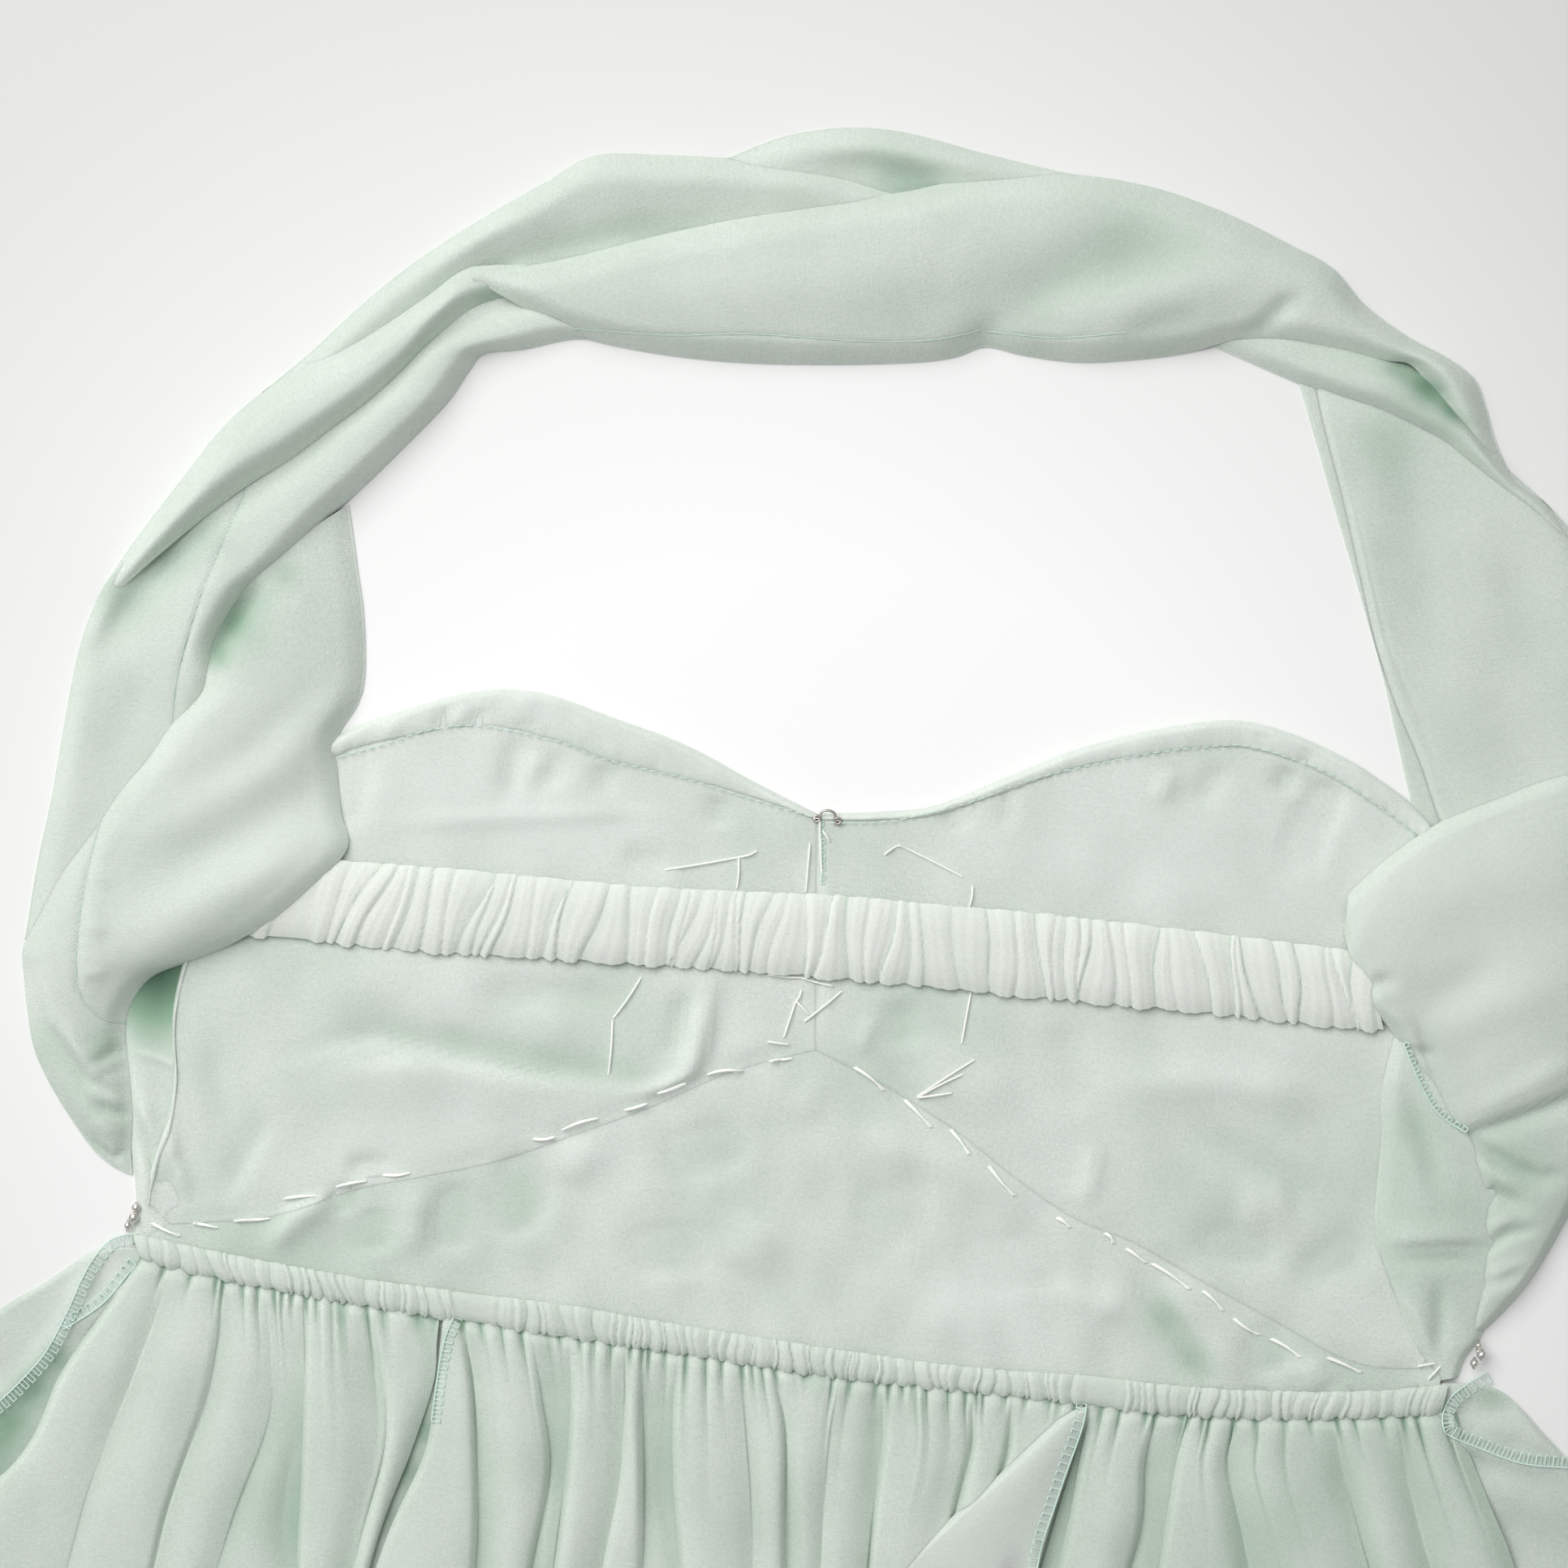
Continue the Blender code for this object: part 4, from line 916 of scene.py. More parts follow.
# The two layers of the hem ruffle.
ruffles = {
    "back": {"waves": 22, "height": 9, "base": 4.6, "steps": (400, 22), "flat": (900, 130)},
    "front": {"waves": 16, "height": 1.8, "base": 1.2, "steps": (300, 20), "flat": (800, 135)},
}


def ruffleForm(layer, spec):
    def form(across, along):
        centreY, frontX, frontY, leftX, rightX, backY = throughRows(hemLines, along).T
        if layer == "front":
            leftX, rightX, backY = -frontX, frontX, frontY
        x = between(leftX, rightX, across)
        y = skirtY(centreY, backY, x / rightX)
        turn = math.tau * spec["waves"] * across
        turn += 0.6 * np.sin(3 * math.pi * across) + 0.5 * np.sin(across * 47)  # no two waves are alike
        wave = (0.5 - 0.5 * np.cos(turn)) ** 0.9
        small = np.abs(np.sin(turn * 1.7)) * np.exp(-along * 6)
        height = (0.3 + 0.7 * along) * wave * (0.8 + 0.2 * np.sin(across * 83)) + 0.14 * small
        lip = 0.8 * bell(1 - along, 0.04)
        z = spec["base"] + spec["height"] * height + 0.3 * lip
        z = between(z, hemSeam[layer], bell(along, hemSeam["fades"]))
        # painted light along the ruffle's lip and painted shade in the troughs of its waves
        return x, y, z, x * 1.3, y, 0.2 * lip - 0.3 * (1 - wave) ** 3

    return form


for layer, spec in ruffles.items():
    grids = [(spec["steps"], ruffleForm(layer, spec))]
    name, on = f"hem_ruffle_{layer}_cloth", {"back": "hem_ruffle_front_cloth", "front": "floor"}[layer]
    addCloth(name, grids, crepeSkirt, spec["flat"], "gathered", [on])
print("hem ruffles")


# The drape: nine stretches, and the cloth that shows under the edge of the fall at its right. All
# are tables that sectioned() reads.
leftRoot = {
    "flat": (60, 150), "on": ["bodice_left_cloth"], "steps": (80, 140), "roll": (6.5, 8.5),
    "rows": (
        (-137, 431, -149, 421, 0.3, 2, 1.5, 2.4, 3, 3.6, 3.6),
        (-133, 415, -163, 412, 0.3, 2, 2.6, 3.8, 4.8, 5, 4.4),
        (-130, 403, -170, 402, 0.3, 2, 3, 5.2, 6.6, 4.4, 2.4),
        (-128, 388, -175, 390, 0.3, 2, 3.2, 6.2, 7.6, 6.6, 2.2),
        (-129, 380, -168.6, 380, 0.3, 4.2, 3.4, 6.4, 8, 8.4, 7.6),
        (-133, 371, -176, 369.5, 0.3, 4.2, 4, 7, 8.6, 9, 8),
        (-132, 363, -181, 360, 0.5, 4.2, 4, 6.6, 8.4, 9.2, 8),
        (-130, 352, -187.5, 350.5, 1.5, 4, 4.5, 6.6, 8.2, 9, 7.6),
        (-127.2, 342.5, -193.6, 339.5, 3.5, 3.4, 6.4, 8.6, 8.8, 8.8, 6.6),
        (-136, 331, -199.6, 328, 5.6, 3.4, 8, 11, 10.4, 8.6, 6),
        (-147, 320, -205, 315.5, 5.2, 1.6, 7.4, 11, 10.8, 8.8, 5.5),
        (-160, 311, -207.8, 307.5, 1.2, 0.3, 5.4, 9.4, 10.2, 8.6, 5.5),
        (-173, 304.5, -206.6, 299.5, 1, 0.3, 4.6, 7.4, 8.8, 8, 5.2),
        (-178, 297, -204.5, 290, 0.8, 0.3, 3, 5.8, 7.2, 7, 5),
        (-179, 290, -202, 282, 0.8, 0.3, 2.4, 5, 6.4, 6.2, 4.6),
        (-177, 280, -198, 275, 0.8, 0.3, 2.2, 4.6, 5.8, 5.8, 4.4),
        (-175, 270, -192, 267, 0.8, 0.3, 2, 4, 5, 5.2, 3.8),
        (-174.2, 260, -184, 258, 0.8, 0.3, 1.8, 3, 3.6, 3.6, 2.8),
        (-173, 252.5, -178, 254, 0.6, 0.3, 1.2, 1.6, 1.8, 1.8, 1.4),
    ),
    "creases": (
        (-3.6, 3.2, 2.2, -156, 411, -161.5, 402, -166, 391, -169, 381),
        (1.7, 7, 7, -125, 391, -135, 377, -147, 362, -168, 346, -192, 334),
        (-1, 5, 5, -131, 396, -142, 379, -156, 363, -178, 349),
        (-1.8, 7, 8, -130, 368, -141, 354, -155, 342, -170, 331, -188, 322),
        (1.2, 6, 6, -127, 346, -139, 340, -153, 331, -167, 322, -184, 311),
        (-1.1, 0.8, 0.8, -190, 353, -193, 328, -193.4, 314, -193, 306.7, -191.7, 299, -189, 295, -184.4,
         291.3, -178, 291), (0.6, 2.6, 2.6, -189, 350, -190, 326, -189, 308, -184, 298),
        (-2, 1.4, 5, -204, 302, -198.8, 288.8, -191.8, 281, -186.9, 275.5, -182.4, 274.3, -174, 274.2),
        (1, 2.6, 1.4, -198, 294, -190, 283.6, -184, 277.6, -176, 277),
        (-1.8, 2.4, 1.2, -172, 285.2, -178, 285.1, -181, 284.6, -184.2, 281.8, -189, 279),
        (-1.4, 1.8, 1, -172, 280.4, -177.7, 280.2, -180.4, 279.3, -186, 276),
        (0.9, 1.4, 2, -190, 276, -182.3, 272.4, -173, 271),
        (-1.5, 1.8, 1.1, -171, 268, -179.2, 268.6, -187, 270.4),
        (-1.9, 1.8, 0.9, -171, 259.2, -176.3, 258.2, -178.4, 256.9, -181, 258.4, -188, 263),
        (0.8, 2, 2, -172, 264, -180, 264, -187, 266), (0.6, 1.6, 1.6, -193, 331, -184, 326),
        (0.6, 1.6, 1.6, -193, 316, -185, 314), (0.6, 1.6, 1.6, -192, 303, -184, 304),
        (-0.8, 3, 3, -176, 303, -184, 310, -192, 318),
    ),
    "tones": (
        (-197, 305, 24, 0.25), (-150, 352, 34, 0.45), (-163, 397, 5, -0.65), (-166, 388, 4, -0.7),
        (-157, 404, 5, -0.35), (-151, 411, 4, -0.4), (-157, 393, 9, -0.3), (-184, 286, 5, -0.5),
        (-200, 284, 7, -0.3), (-186, 270, 12, -0.2),
    ),
}
leftInner = {
    "nodes": ["drape_left_back", "drape_left_inner"], "flat": (32, 200), "on": ["floor"],
    "steps": (60, 150), "roll": (7, 6.5),
    "rows": (
        (-207.6, 310, -184, 320, 0.3, 0.3, 2, 2.6, 3, 3, 2.8),
        (-206.6, 330, -182, 340, 0.3, 0.3, 2.6, 3.6, 3.8, 3.8, 3.4),
        (-205, 346, -174, 359, 0.3, 0.3, 3.6, 4.8, 4.8, 4.4, 4),
        (-204, 363, -168.5, 372, 0.3, 0.3, 4.4, 5.4, 4.8, 4.8, 4.4),
        (-203, 378, -166.6, 382, 0.3, 2, 4.8, 5.2, 4.8, 6.2, 7),
        (-202, 387, -167.4, 391, 0.3, 2.2, 4.8, 4.2, 4.8, 7.2, 8.4),
        (-200, 396, -164.6, 399.5, 0.3, 2.5, 4.6, 3.2, 5, 8, 9),
        (-197, 404, -161, 406, 2, 2.5, 4, 2.8, 5.4, 8.6, 9),
        (-192, 411, -157, 410, 2, 2.5, 3.4, 2.8, 6, 9, 9),
        (-186, 417, -152, 415, 2.2, 2.5, 3.2, 3.4, 7.2, 9.4, 8.8),
        (-177, 425, -147, 421, 2.6, 2.5, 3.4, 4.4, 8, 9.6, 8.2),
        (-165, 435, -141, 428, 3, 1.5, 3.8, 5.2, 8.6, 9.4, 7.6),
        (-156, 443, -133, 437, 3, 0.3, 4, 5.6, 8.6, 9, 6.8),
        (-147, 450.5, -122.5, 450, 3, 0.3, 4, 5.6, 8.2, 8.4, 6),
        (-137, 459.5, -114.5, 460.5, 3, 0.3, 4, 5.4, 7.8, 7.8, 5.6),
        (-130, 467.5, -110, 469, 3, 0.3, 4, 5.2, 7.4, 7.2, 5),
        (-125, 474, -106.5, 473.8, 3, 0.3, 4, 4.6, 7, 6.8, 4.6),
        (-113, 484, -97, 476, 3, 0.3, 3.4, 4, 6.2, 6.4, 4.4),
        (-102, 490, -85, 480, 3, 0.3, 2.8, 3.4, 5.2, 5.2, 3.8),
        (-92, 491, -74, 481, 2, 0.3, 2.6, 3, 3.4, 3.4, 2.6),
    ),
    "creases": (
        (-2.2, 4, 6, -206, 380, -197, 387, -190, 398, -184, 410, -172, 424),
        (-0.7, 0.6, 0.6, -160, 442, -163.6, 432, -171.2, 406, -175.6, 382, -175.2, 362),
        (0.9, 4, 4, -205, 392, -203, 370, -204, 345), (-0.8, 6, 7, -196, 344, -188, 366, -181, 386),
        (0.7, 6, 6, -150, 440, -134, 453, -120, 470), (-0.7, 3, 3, -172, 420, -163, 412, -160, 404),
    ),
    "tones": ((-198, 352, 24, 0.3), (-193, 402, 7, -0.35), (-183, 413, 7, -0.4), (-174, 421, 6, -0.3)),
}
leftRoll = {
    "flat": (24, 135), "on": ["drape_left_inner_cloth"], "steps": (46, 110), "roll": (8.5, 6.5),
    "rows": (
        (-198.4, 400.6, -197.8, 400, 0.3, 0.8, 1.4, 1.8, 2, 1.8, 1.4),
        (-196.6, 405, -193.6, 402.2, 0.3, 2.6, 3.8, 5.4, 6, 5.8, 4.8),
        (-190.5, 416.5, -185.8, 410.6, 0.3, 3.4, 5.2, 7.4, 8.6, 8.8, 7.2),
        (-181.5, 431.5, -175, 421.8, 0.3, 4, 5.8, 8.8, 10.4, 10.6, 8.6),
        (-172.2, 446.5, -163.2, 432.8, 0.3, 4.4, 6.2, 9.6, 11.6, 11.6, 9.4),
        (-162.5, 457.5, -153.2, 440.4, 0.3, 4.6, 6.6, 9.8, 11.8, 12, 9.6),
        (-151, 466.2, -145, 448, 2.5, 4.6, 7, 9.6, 11.4, 11.8, 9.4),
        (-139.5, 473.8, -135.2, 457, 3.5, 4.6, 7, 9.2, 11, 11.2, 9),
        (-130, 481, -128, 465.2, 3.6, 4.4, 7, 8.8, 10, 10, 8.2),
        (-122, 488, -121.5, 474, 3.6, 4.2, 6.8, 8.4, 9.2, 8.8, 7),
        (-115.5, 494.2, -113.5, 482.4, 3.8, 3, 6.8, 8.4, 8.8, 7.4, 5),
        (-108, 496.4, -106.5, 485.6, 4, 2.4, 6.8, 8, 7.6, 5.6, 3.4),
        (-98, 497.6, -99, 489.4, 4, 2.4, 6, 6.6, 5.6, 4.2, 3),
    ),
    "creases": (
        (0.6, 4, 6, -176, 428, -160, 444, -146, 457, -130, 470),
        (-0.5, 4, 4, -180, 434, -166, 450, -150, 462), (0.7, 3, 4, -128, 478, -119, 483, -113, 486),
        (-1.4, 2.4, 2.4, -120, 477, -110, 484, -102, 489),
    ),
    "tones": ((-106, 487, 5, -0.6),),
}
leftUpper = {
    "flat": (26, 165), "on": ["floor"], "steps": (50, 120), "roll": (3, 9),
    "rows": (
        (-163.5, 455.5, -162.5, 457.6, 0.3, 0.3, 1.2, 1.6, 1.8, 1.6, 1.2),
        (-150, 462, -151.5, 469, 2.5, 0.3, 3.2, 3.8, 4.2, 4, 3.4),
        (-137, 470, -138.5, 484, 2.5, 0.3, 3.2, 4, 5.2, 5.6, 4.6),
        (-123, 480, -125.5, 496.8, 2.5, 0.3, 3, 3.6, 5.4, 6.6, 5.6),
        (-109, 490, -109.5, 509.8, 2.5, 0.3, 3, 3.4, 5.2, 7.4, 6.6),
        (-96, 491.5, -96, 519.6, 2.5, 0.3, 2.8, 3.2, 5.2, 7.8, 7.2),
        (-84, 495.5, -84, 528, 2.5, 0.3, 2.8, 3.2, 5.2, 7.8, 7.4),
        (-66, 503, -66, 530.2, 2.5, 0.3, 3, 3.4, 5.4, 7.6, 7),
        (-45, 510, -48, 531.2, 2.5, 0.6, 3.2, 4, 5.8, 7.4, 6.8),
        (-25, 516, -28, 530.4, 2.5, 2.8, 3.6, 4.6, 6.2, 7.4, 6.6),
        (-8, 520, -8, 526.8, 2.5, 3, 3.8, 4.2, 5, 5.4, 5),
        (6, 523, 7, 525.5, 2.5, 3, 3.4, 3.6, 3.6, 3.6, 3.4),
    ),
    "creases": (
        (0.8, 6, 8, -118, 492, -95, 508, -70, 516, -40, 521),
        (-1, 4, 3, -132, 476, -116, 488, -100, 500, -76, 508, -40, 516),
        (-0.5, 4, 5, -110, 504, -92, 518, -78, 524),
    ),
    "tones": ((-90, 500, 18, -0.15), (-60, 507, 16, -0.12)),
}
topBack = {
    "flat": (20, 100), "on": ["floor"], "steps": (36, 76), "roll": (2, 9),
    "rows": (
        (-52, 526, -50, 531.2, 0.3, 0.3, 1.4, 1.6, 1.8, 1.8, 1.4),
        (-38, 523.5, -37, 538, 0.3, 0.3, 2.4, 2.8, 3.8, 4.2, 3.4),
        (-24, 521.5, -23.5, 542, 0.3, 0.3, 2.4, 2.8, 4.4, 6.6, 6.4),
        (-11, 520.5, -12, 543.2, 0.3, 0.3, 2, 2.2, 3.8, 7.6, 7.8),
        (2, 521.5, -0.5, 542.6, 0.3, 0.3, 2, 2.2, 3.6, 7.6, 7.8),
        (16, 526, 14.5, 540.2, 0.3, 0.3, 2.4, 3, 5, 7, 6.6),
        (31, 531, 32, 538, 0.3, 0.3, 2.4, 2.8, 4, 4.4, 3.6),
        (46, 533, 47, 536.4, 0.3, 0.3, 1.6, 1.8, 2, 2, 1.6),
    ),
    "creases": ((-1, 3, 4, -30, 531, -12, 534, 4, 531, 14, 528),),
    "tones": ((-6, 530, 7, -0.4), (3, 528, 6, -0.4)),
}
topFront = {
    "flat": (42, 280), "on": ["drape_left_upper_cloth"], "steps": (80, 200), "roll": (6.5, 8.5),
    "rows": (
        (-111.6, 492.2, -111.6, 493.6, 7.6, 7.6, 8.6, 8.9, 9, 8.9, 8.6),
        (-99, 487, -98.6, 497, 4.5, 5.6, 8.6, 9.6, 10, 9.6, 8.8),
        (-84, 481.2, -84.6, 501.6, 0.6, 4, 7, 9.2, 10.2, 10, 9),
        (-64, 479, -66.2, 508.6, 0.3, 4, 6.4, 9, 10.6, 10.6, 9.4),
        (-42, 479, -46.2, 515.4, 0.3, 4, 6, 9, 11, 11, 9.6),
        (-19, 481, -26.2, 521.4, 0.3, 4, 5.8, 9, 11.4, 11.4, 9.8),
        (3, 484, -4, 527.2, 0.3, 4, 5.6, 8.8, 11.6, 11.8, 9.8),
        (14, 486.6, 7, 531, 0.3, 3, 5.6, 8.8, 11.6, 11.8, 9.4),
        (22, 490.2, 19, 534.2, 0.3, 2.5, 5.4, 8.8, 11.4, 11.8, 9),
        (32, 489.2, 33, 536.6, 0.3, 1, 5.4, 8.8, 11.2, 11.6, 8.4),
        (46, 489, 48, 537.2, 0.3, 0.3, 5.6, 9, 11, 11.2, 7.8),
        (60, 491.2, 64, 535.6, 0.3, 0.3, 5.6, 8.8, 11, 10.8, 7.4),
        (74, 494.6, 81, 531.4, 0.3, 0.3, 5.8, 8.8, 10.8, 10.4, 7.2),
        (86, 499.2, 97, 525.6, 3, 0.3, 6.8, 9.2, 10.4, 9.8, 7),
        (98, 500.4, 109, 520.6, 4, 0.3, 7.6, 9.4, 10, 9.2, 6.8),
        (111, 499.6, 118, 512.4, 4, 0.3, 7.2, 8.8, 9, 8.4, 6.4),
        (124, 498.2, 130, 505.4, 4, 0.3, 6.4, 7.4, 7.8, 7.2, 5.6),
        (131.5, 497.8, 141, 501, 3.4, 0.3, 5.6, 6.6, 7, 6.8, 5.2),
        (137, 492.4, 148.5, 496.4, 2, 0.3, 4.4, 5.8, 6.6, 6.4, 5.2),
        (141.5, 486, 152.2, 489.6, 1.6, 0.3, 3.8, 5.4, 6.2, 6, 4.8),
        (147.6, 478.6, 155.4, 481.8, 1.6, 0.3, 3.4, 4.6, 5.4, 5.2, 4.2),
        (154.5, 471.6, 160.4, 472.8, 1, 0.3, 2.4, 2.8, 3, 2.8, 2.2),
    ),
    "creases": (
        (-2.6, 9, 7, 14, 487, 28, 501, 43, 511, 60, 518, 86, 523),
        (1.4, 6, 8, 36, 494, 59, 505, 80, 513, 106, 514), (-0.9, 3.5, 4, 54, 495, 68, 502, 80, 504),
        (-2, 2.6, 3.4, 84, 497, 91, 502, 97, 509, 104, 513), (-1.4, 4, 4, 10, 483, 19, 491, 28, 499),
        (-0.3, 0.6, 0.6, -90, 482.6, -61, 483.4, -38, 486.2, -10, 487.6, 8, 490, 20, 494),
        (-0.3, 0.6, 0.6, 22, 494, 40, 494.2, 58, 497.6), (0.7, 9, 9, -60, 494, -20, 500, 10, 506),
        (-0.6, 7, 6, -95, 492, -70, 500, -40, 509), (0.8, 2.4, 2.4, 118, 503, 130, 501, 140, 497, 147, 489),
        (-1.6, 1.6, 1.6, 122, 499, 132, 496, 140, 491, 147, 483),
    ),
    "tones": ((-60, 492, 20, 0.15), (60, 518, 24, -0.15), (138, 492, 3, -0.6), (146, 484, 3, -0.5)),
}
rightStrand = {
    "flat": (16, 112), "on": ["drape_right_fall_cloth"], "steps": (40, 90), "roll": (5, 5.5),
    "rows": (
        (80, 497.2, 84, 504, 0.3, 2, 2, 2.4, 2.6, 2.6, 2.4),
        (93, 493.2, 97, 504, 0.3, 2.5, 3.4, 4, 4.2, 4.2, 4),
        (106, 489.2, 111, 502.5, 0.3, 2.5, 4.2, 5.6, 5.6, 5.2, 4.6),
        (114, 486.8, 121, 500.6, 1, 2.5, 4.8, 6.6, 6.8, 6, 4.8),
        (124, 484.8, 132, 499, 2.5, 1, 5.4, 7.6, 8, 5, 2.4),
        (134, 481.4, 143, 494, 2.5, 1, 5.6, 8.2, 7.6, 2.6, 1.8),
        (142, 478.4, 150, 487, 2.5, 1, 5.8, 8.2, 8, 2.6, 1.8),
        (150, 473, 156, 479, 2.5, 1, 5.8, 7.8, 8.2, 4.6, 2.2),
        (158, 468, 162.4, 471.6, 2.5, 0.3, 5.6, 7.2, 7.6, 6.6, 4.6),
        (166, 463.4, 170.6, 466.4, 2.5, 0.3, 5.2, 6.2, 6.6, 6.2, 4.8),
        (174, 457.6, 178.6, 458.8, 2.5, 0.3, 4.4, 5, 5.2, 4.8, 3.8),
    ),
    "creases": ((0.6, 3, 3, 100, 495, 118, 492, 132, 487),),
    "tones": ((136.6, 493.3, 5, -1.3), (144, 488, 4, -1.2), (128, 497, 4, -0.6), (130, 488, 30, -0.15)),
}
rightFall = {
    "flat": (68, 130), "on": ["floor"], "steps": (72, 96), "roll": (2.4, 8),
    "rows": (
        (107, 490.5, 113, 492, 0.3, 0.3, 1.6, 2, 2.2, 2.2, 2),
        (111, 479, 135, 488, 0.3, 0.3, 2.2, 3.4, 3.8, 3.8, 3),
        (118, 461, 160, 474, 0.3, 0.3, 2.4, 3.8, 3.6, 4.8, 4.4),
        (124, 444, 181, 457, 0.3, 0.3, 2.4, 4, 3.4, 5.4, 5),
        (130, 427, 191, 439, 0.3, 0.3, 2.4, 4, 3.4, 5.6, 5),
        (137, 411, 198, 419, 0.3, 0.3, 2.4, 4, 3.4, 5, 5),
        (145, 396.6, 203, 405, 0.3, 0.3, 2.4, 4, 3.6, 4.6, 4.6),
        (152.4, 381, 205.5, 393, 0.3, 0.3, 2.4, 3.8, 3.8, 4.2, 4.2),
        (159, 370, 206, 382, 0.3, 0.3, 2.4, 3.2, 3.2, 3.2, 3),
    ),
    "creases": (
        (-0.25, 0.6, 0.6, 113, 482, 123, 455, 133, 427, 145, 405, 156, 383),
        (-1.8, 6, 7, 128, 486, 135, 462, 142, 438, 152, 408), (-1.6, 7, 6, 156, 452, 168, 440, 180, 420),
        (1, 6, 6, 146, 472, 155, 450, 164, 418), (0.6, 4, 4, 120, 470, 128, 440, 140, 412),
    ),
    "tones": ((128, 478, 10, -0.3), (170, 400, 40, 0.15)),
}
underEdge = {
    "steps": (10, 80), "roll": (0.8, 0.8), "uneven": 0.1,
    "rows": [(*ends, 0.3, 0.3, 0.9, 1, 1, 1, 0.9) for ends in (
        (103.6, 490, 112, 489), (108.6, 478, 116, 476), (116, 460, 124, 458), (123.6, 442, 131, 440),
        (133.4, 418, 142, 416), (139.6, 400, 151, 396), (147, 379, 160, 377),
    )],
}
rightRoot = {
    "flat": (90, 98), "on": ["bodice_right_cloth"], "steps": (110, 130), "roll": (4.5, 7),
    "rows": (
        (130.8, 351.5, 131.2, 361, 2, 2, 3.2, 4.2, 4.6, 4.2, 3.4),
        (133, 345, 140.5, 371, 4.4, 2.2, 6.4, 7.6, 7.8, 7.2, 5.8),
        (136.5, 340.2, 152.5, 381.4, 5, 2.6, 7.4, 9, 9.2, 8.4, 6.6),
        (140, 332.4, 168, 390.2, 4.6, 3.4, 7.4, 9.6, 10, 9, 7.2),
        (145.4, 327, 186, 398.4, 3.4, 3.6, 6.6, 9.4, 10.2, 9.4, 7.2),
        (150.2, 322, 203.5, 401.4, 2.4, 2.4, 5.6, 9.2, 10.4, 9.2, 6.4),
        (155.2, 315.8, 206.4, 380, 2.4, 0.3, 5, 9.2, 10.4, 8.8, 5.6),
        (160.6, 308.2, 207.4, 358, 2.4, 0.3, 4.8, 9, 10.2, 8.4, 5.4),
        (166.6, 301.4, 207.8, 338, 2.4, 0.3, 4.4, 7.6, 9.4, 8, 5.2),
        (171.2, 293.4, 207.8, 322, 2.4, 0.3, 4, 6.2, 7.4, 7, 4.8),
        (174.4, 284, 206.6, 308, 2.4, 0.3, 3.8, 5.8, 6.8, 6.4, 4.4),
        (176.2, 274, 201.6, 296, 2.4, 0.3, 3.6, 5.6, 6.4, 5.8, 4.2),
        (176.4, 265, 196.4, 282, 2.2, 0.3, 3.4, 5.2, 5.8, 5.2, 4),
        (175, 257.5, 190.2, 268, 2, 0.3, 3.2, 4.4, 4.8, 4.2, 3.4),
        (173.8, 252, 183.4, 257.5, 1.6, 0.3, 2.6, 3.2, 3.4, 3, 2.4),
        (173.2, 247.2, 176.4, 249.4, 1.2, 0.3, 1.8, 2, 2, 1.8, 1.4),
    ),
    "creases": (
        (-2.6, 0.9, 3.6, 152, 297, 168, 302.5, 180, 308.5, 193.5, 316, 230, 334),
        (1.3, 3.4, 3, 161, 305, 172, 310, 184, 318, 200, 328),
        (-2, 1.8, 2.8, 166, 303, 172, 300, 181.6, 295.3, 188.2, 293.5, 198, 296),
        (1.1, 1.6, 2.2, 168, 297, 176, 293, 186, 290),
        (-1.8, 1.4, 2, 169, 281, 173.3, 284.1, 177.2, 288.4, 188, 285),
        (-1.6, 1.8, 1.2, 170, 270, 175.3, 272.1, 182.2, 278, 192, 281),
        (1, 1.6, 1.6, 170, 276.5, 176, 278.5, 184, 283), (0.8, 1.8, 1.8, 170, 265, 180, 267, 190, 273),
        (-1, 1.8, 2, 173, 263, 181, 266, 188, 270),
        (-1.8, 2.6, 1.6, 150, 334, 156, 321, 161, 308, 163, 300),
        (-1.2, 1.2, 2.2, 146, 324, 151, 322, 160, 322), (1.2, 6, 6, 145, 324, 156, 327, 172, 336, 192, 347),
        (-0.8, 5, 5, 146, 332, 158, 338, 176, 350), (-1.6, 2, 2.4, 131, 340, 139, 337.6, 147, 341),
        (0.8, 2.4, 2.4, 137, 337, 143, 331, 151, 328), (0.7, 9, 10, 136, 356, 160, 366, 190, 376),
        (-0.6, 8, 8, 140, 348, 165, 354, 200, 362), (0.8, 3, 3, 176, 262, 186, 264, 194, 276),
    ),
    "tones": ((152, 362, 34, 0.5), (180, 297, 10, -0.2), (190, 285, 22, -0.2), (165, 330, 20, 0.15)),
}

for name, *grids in (
    ("left_root", leftRoot),
    ("left_inner", leftInner),
    ("left_roll", leftRoll),
    ("left_upper", leftUpper),
    ("top_back", topBack),
    ("top_front", topFront),
    ("right_strand", rightStrand),
    ("right_fall", rightFall, underEdge),
    ("right_root", rightRoot),
):
    addStretch(f"drape_{name}_cloth", crepeDrape, "drape_crepe", *grids)
print("drape: nine stretches of the ring")


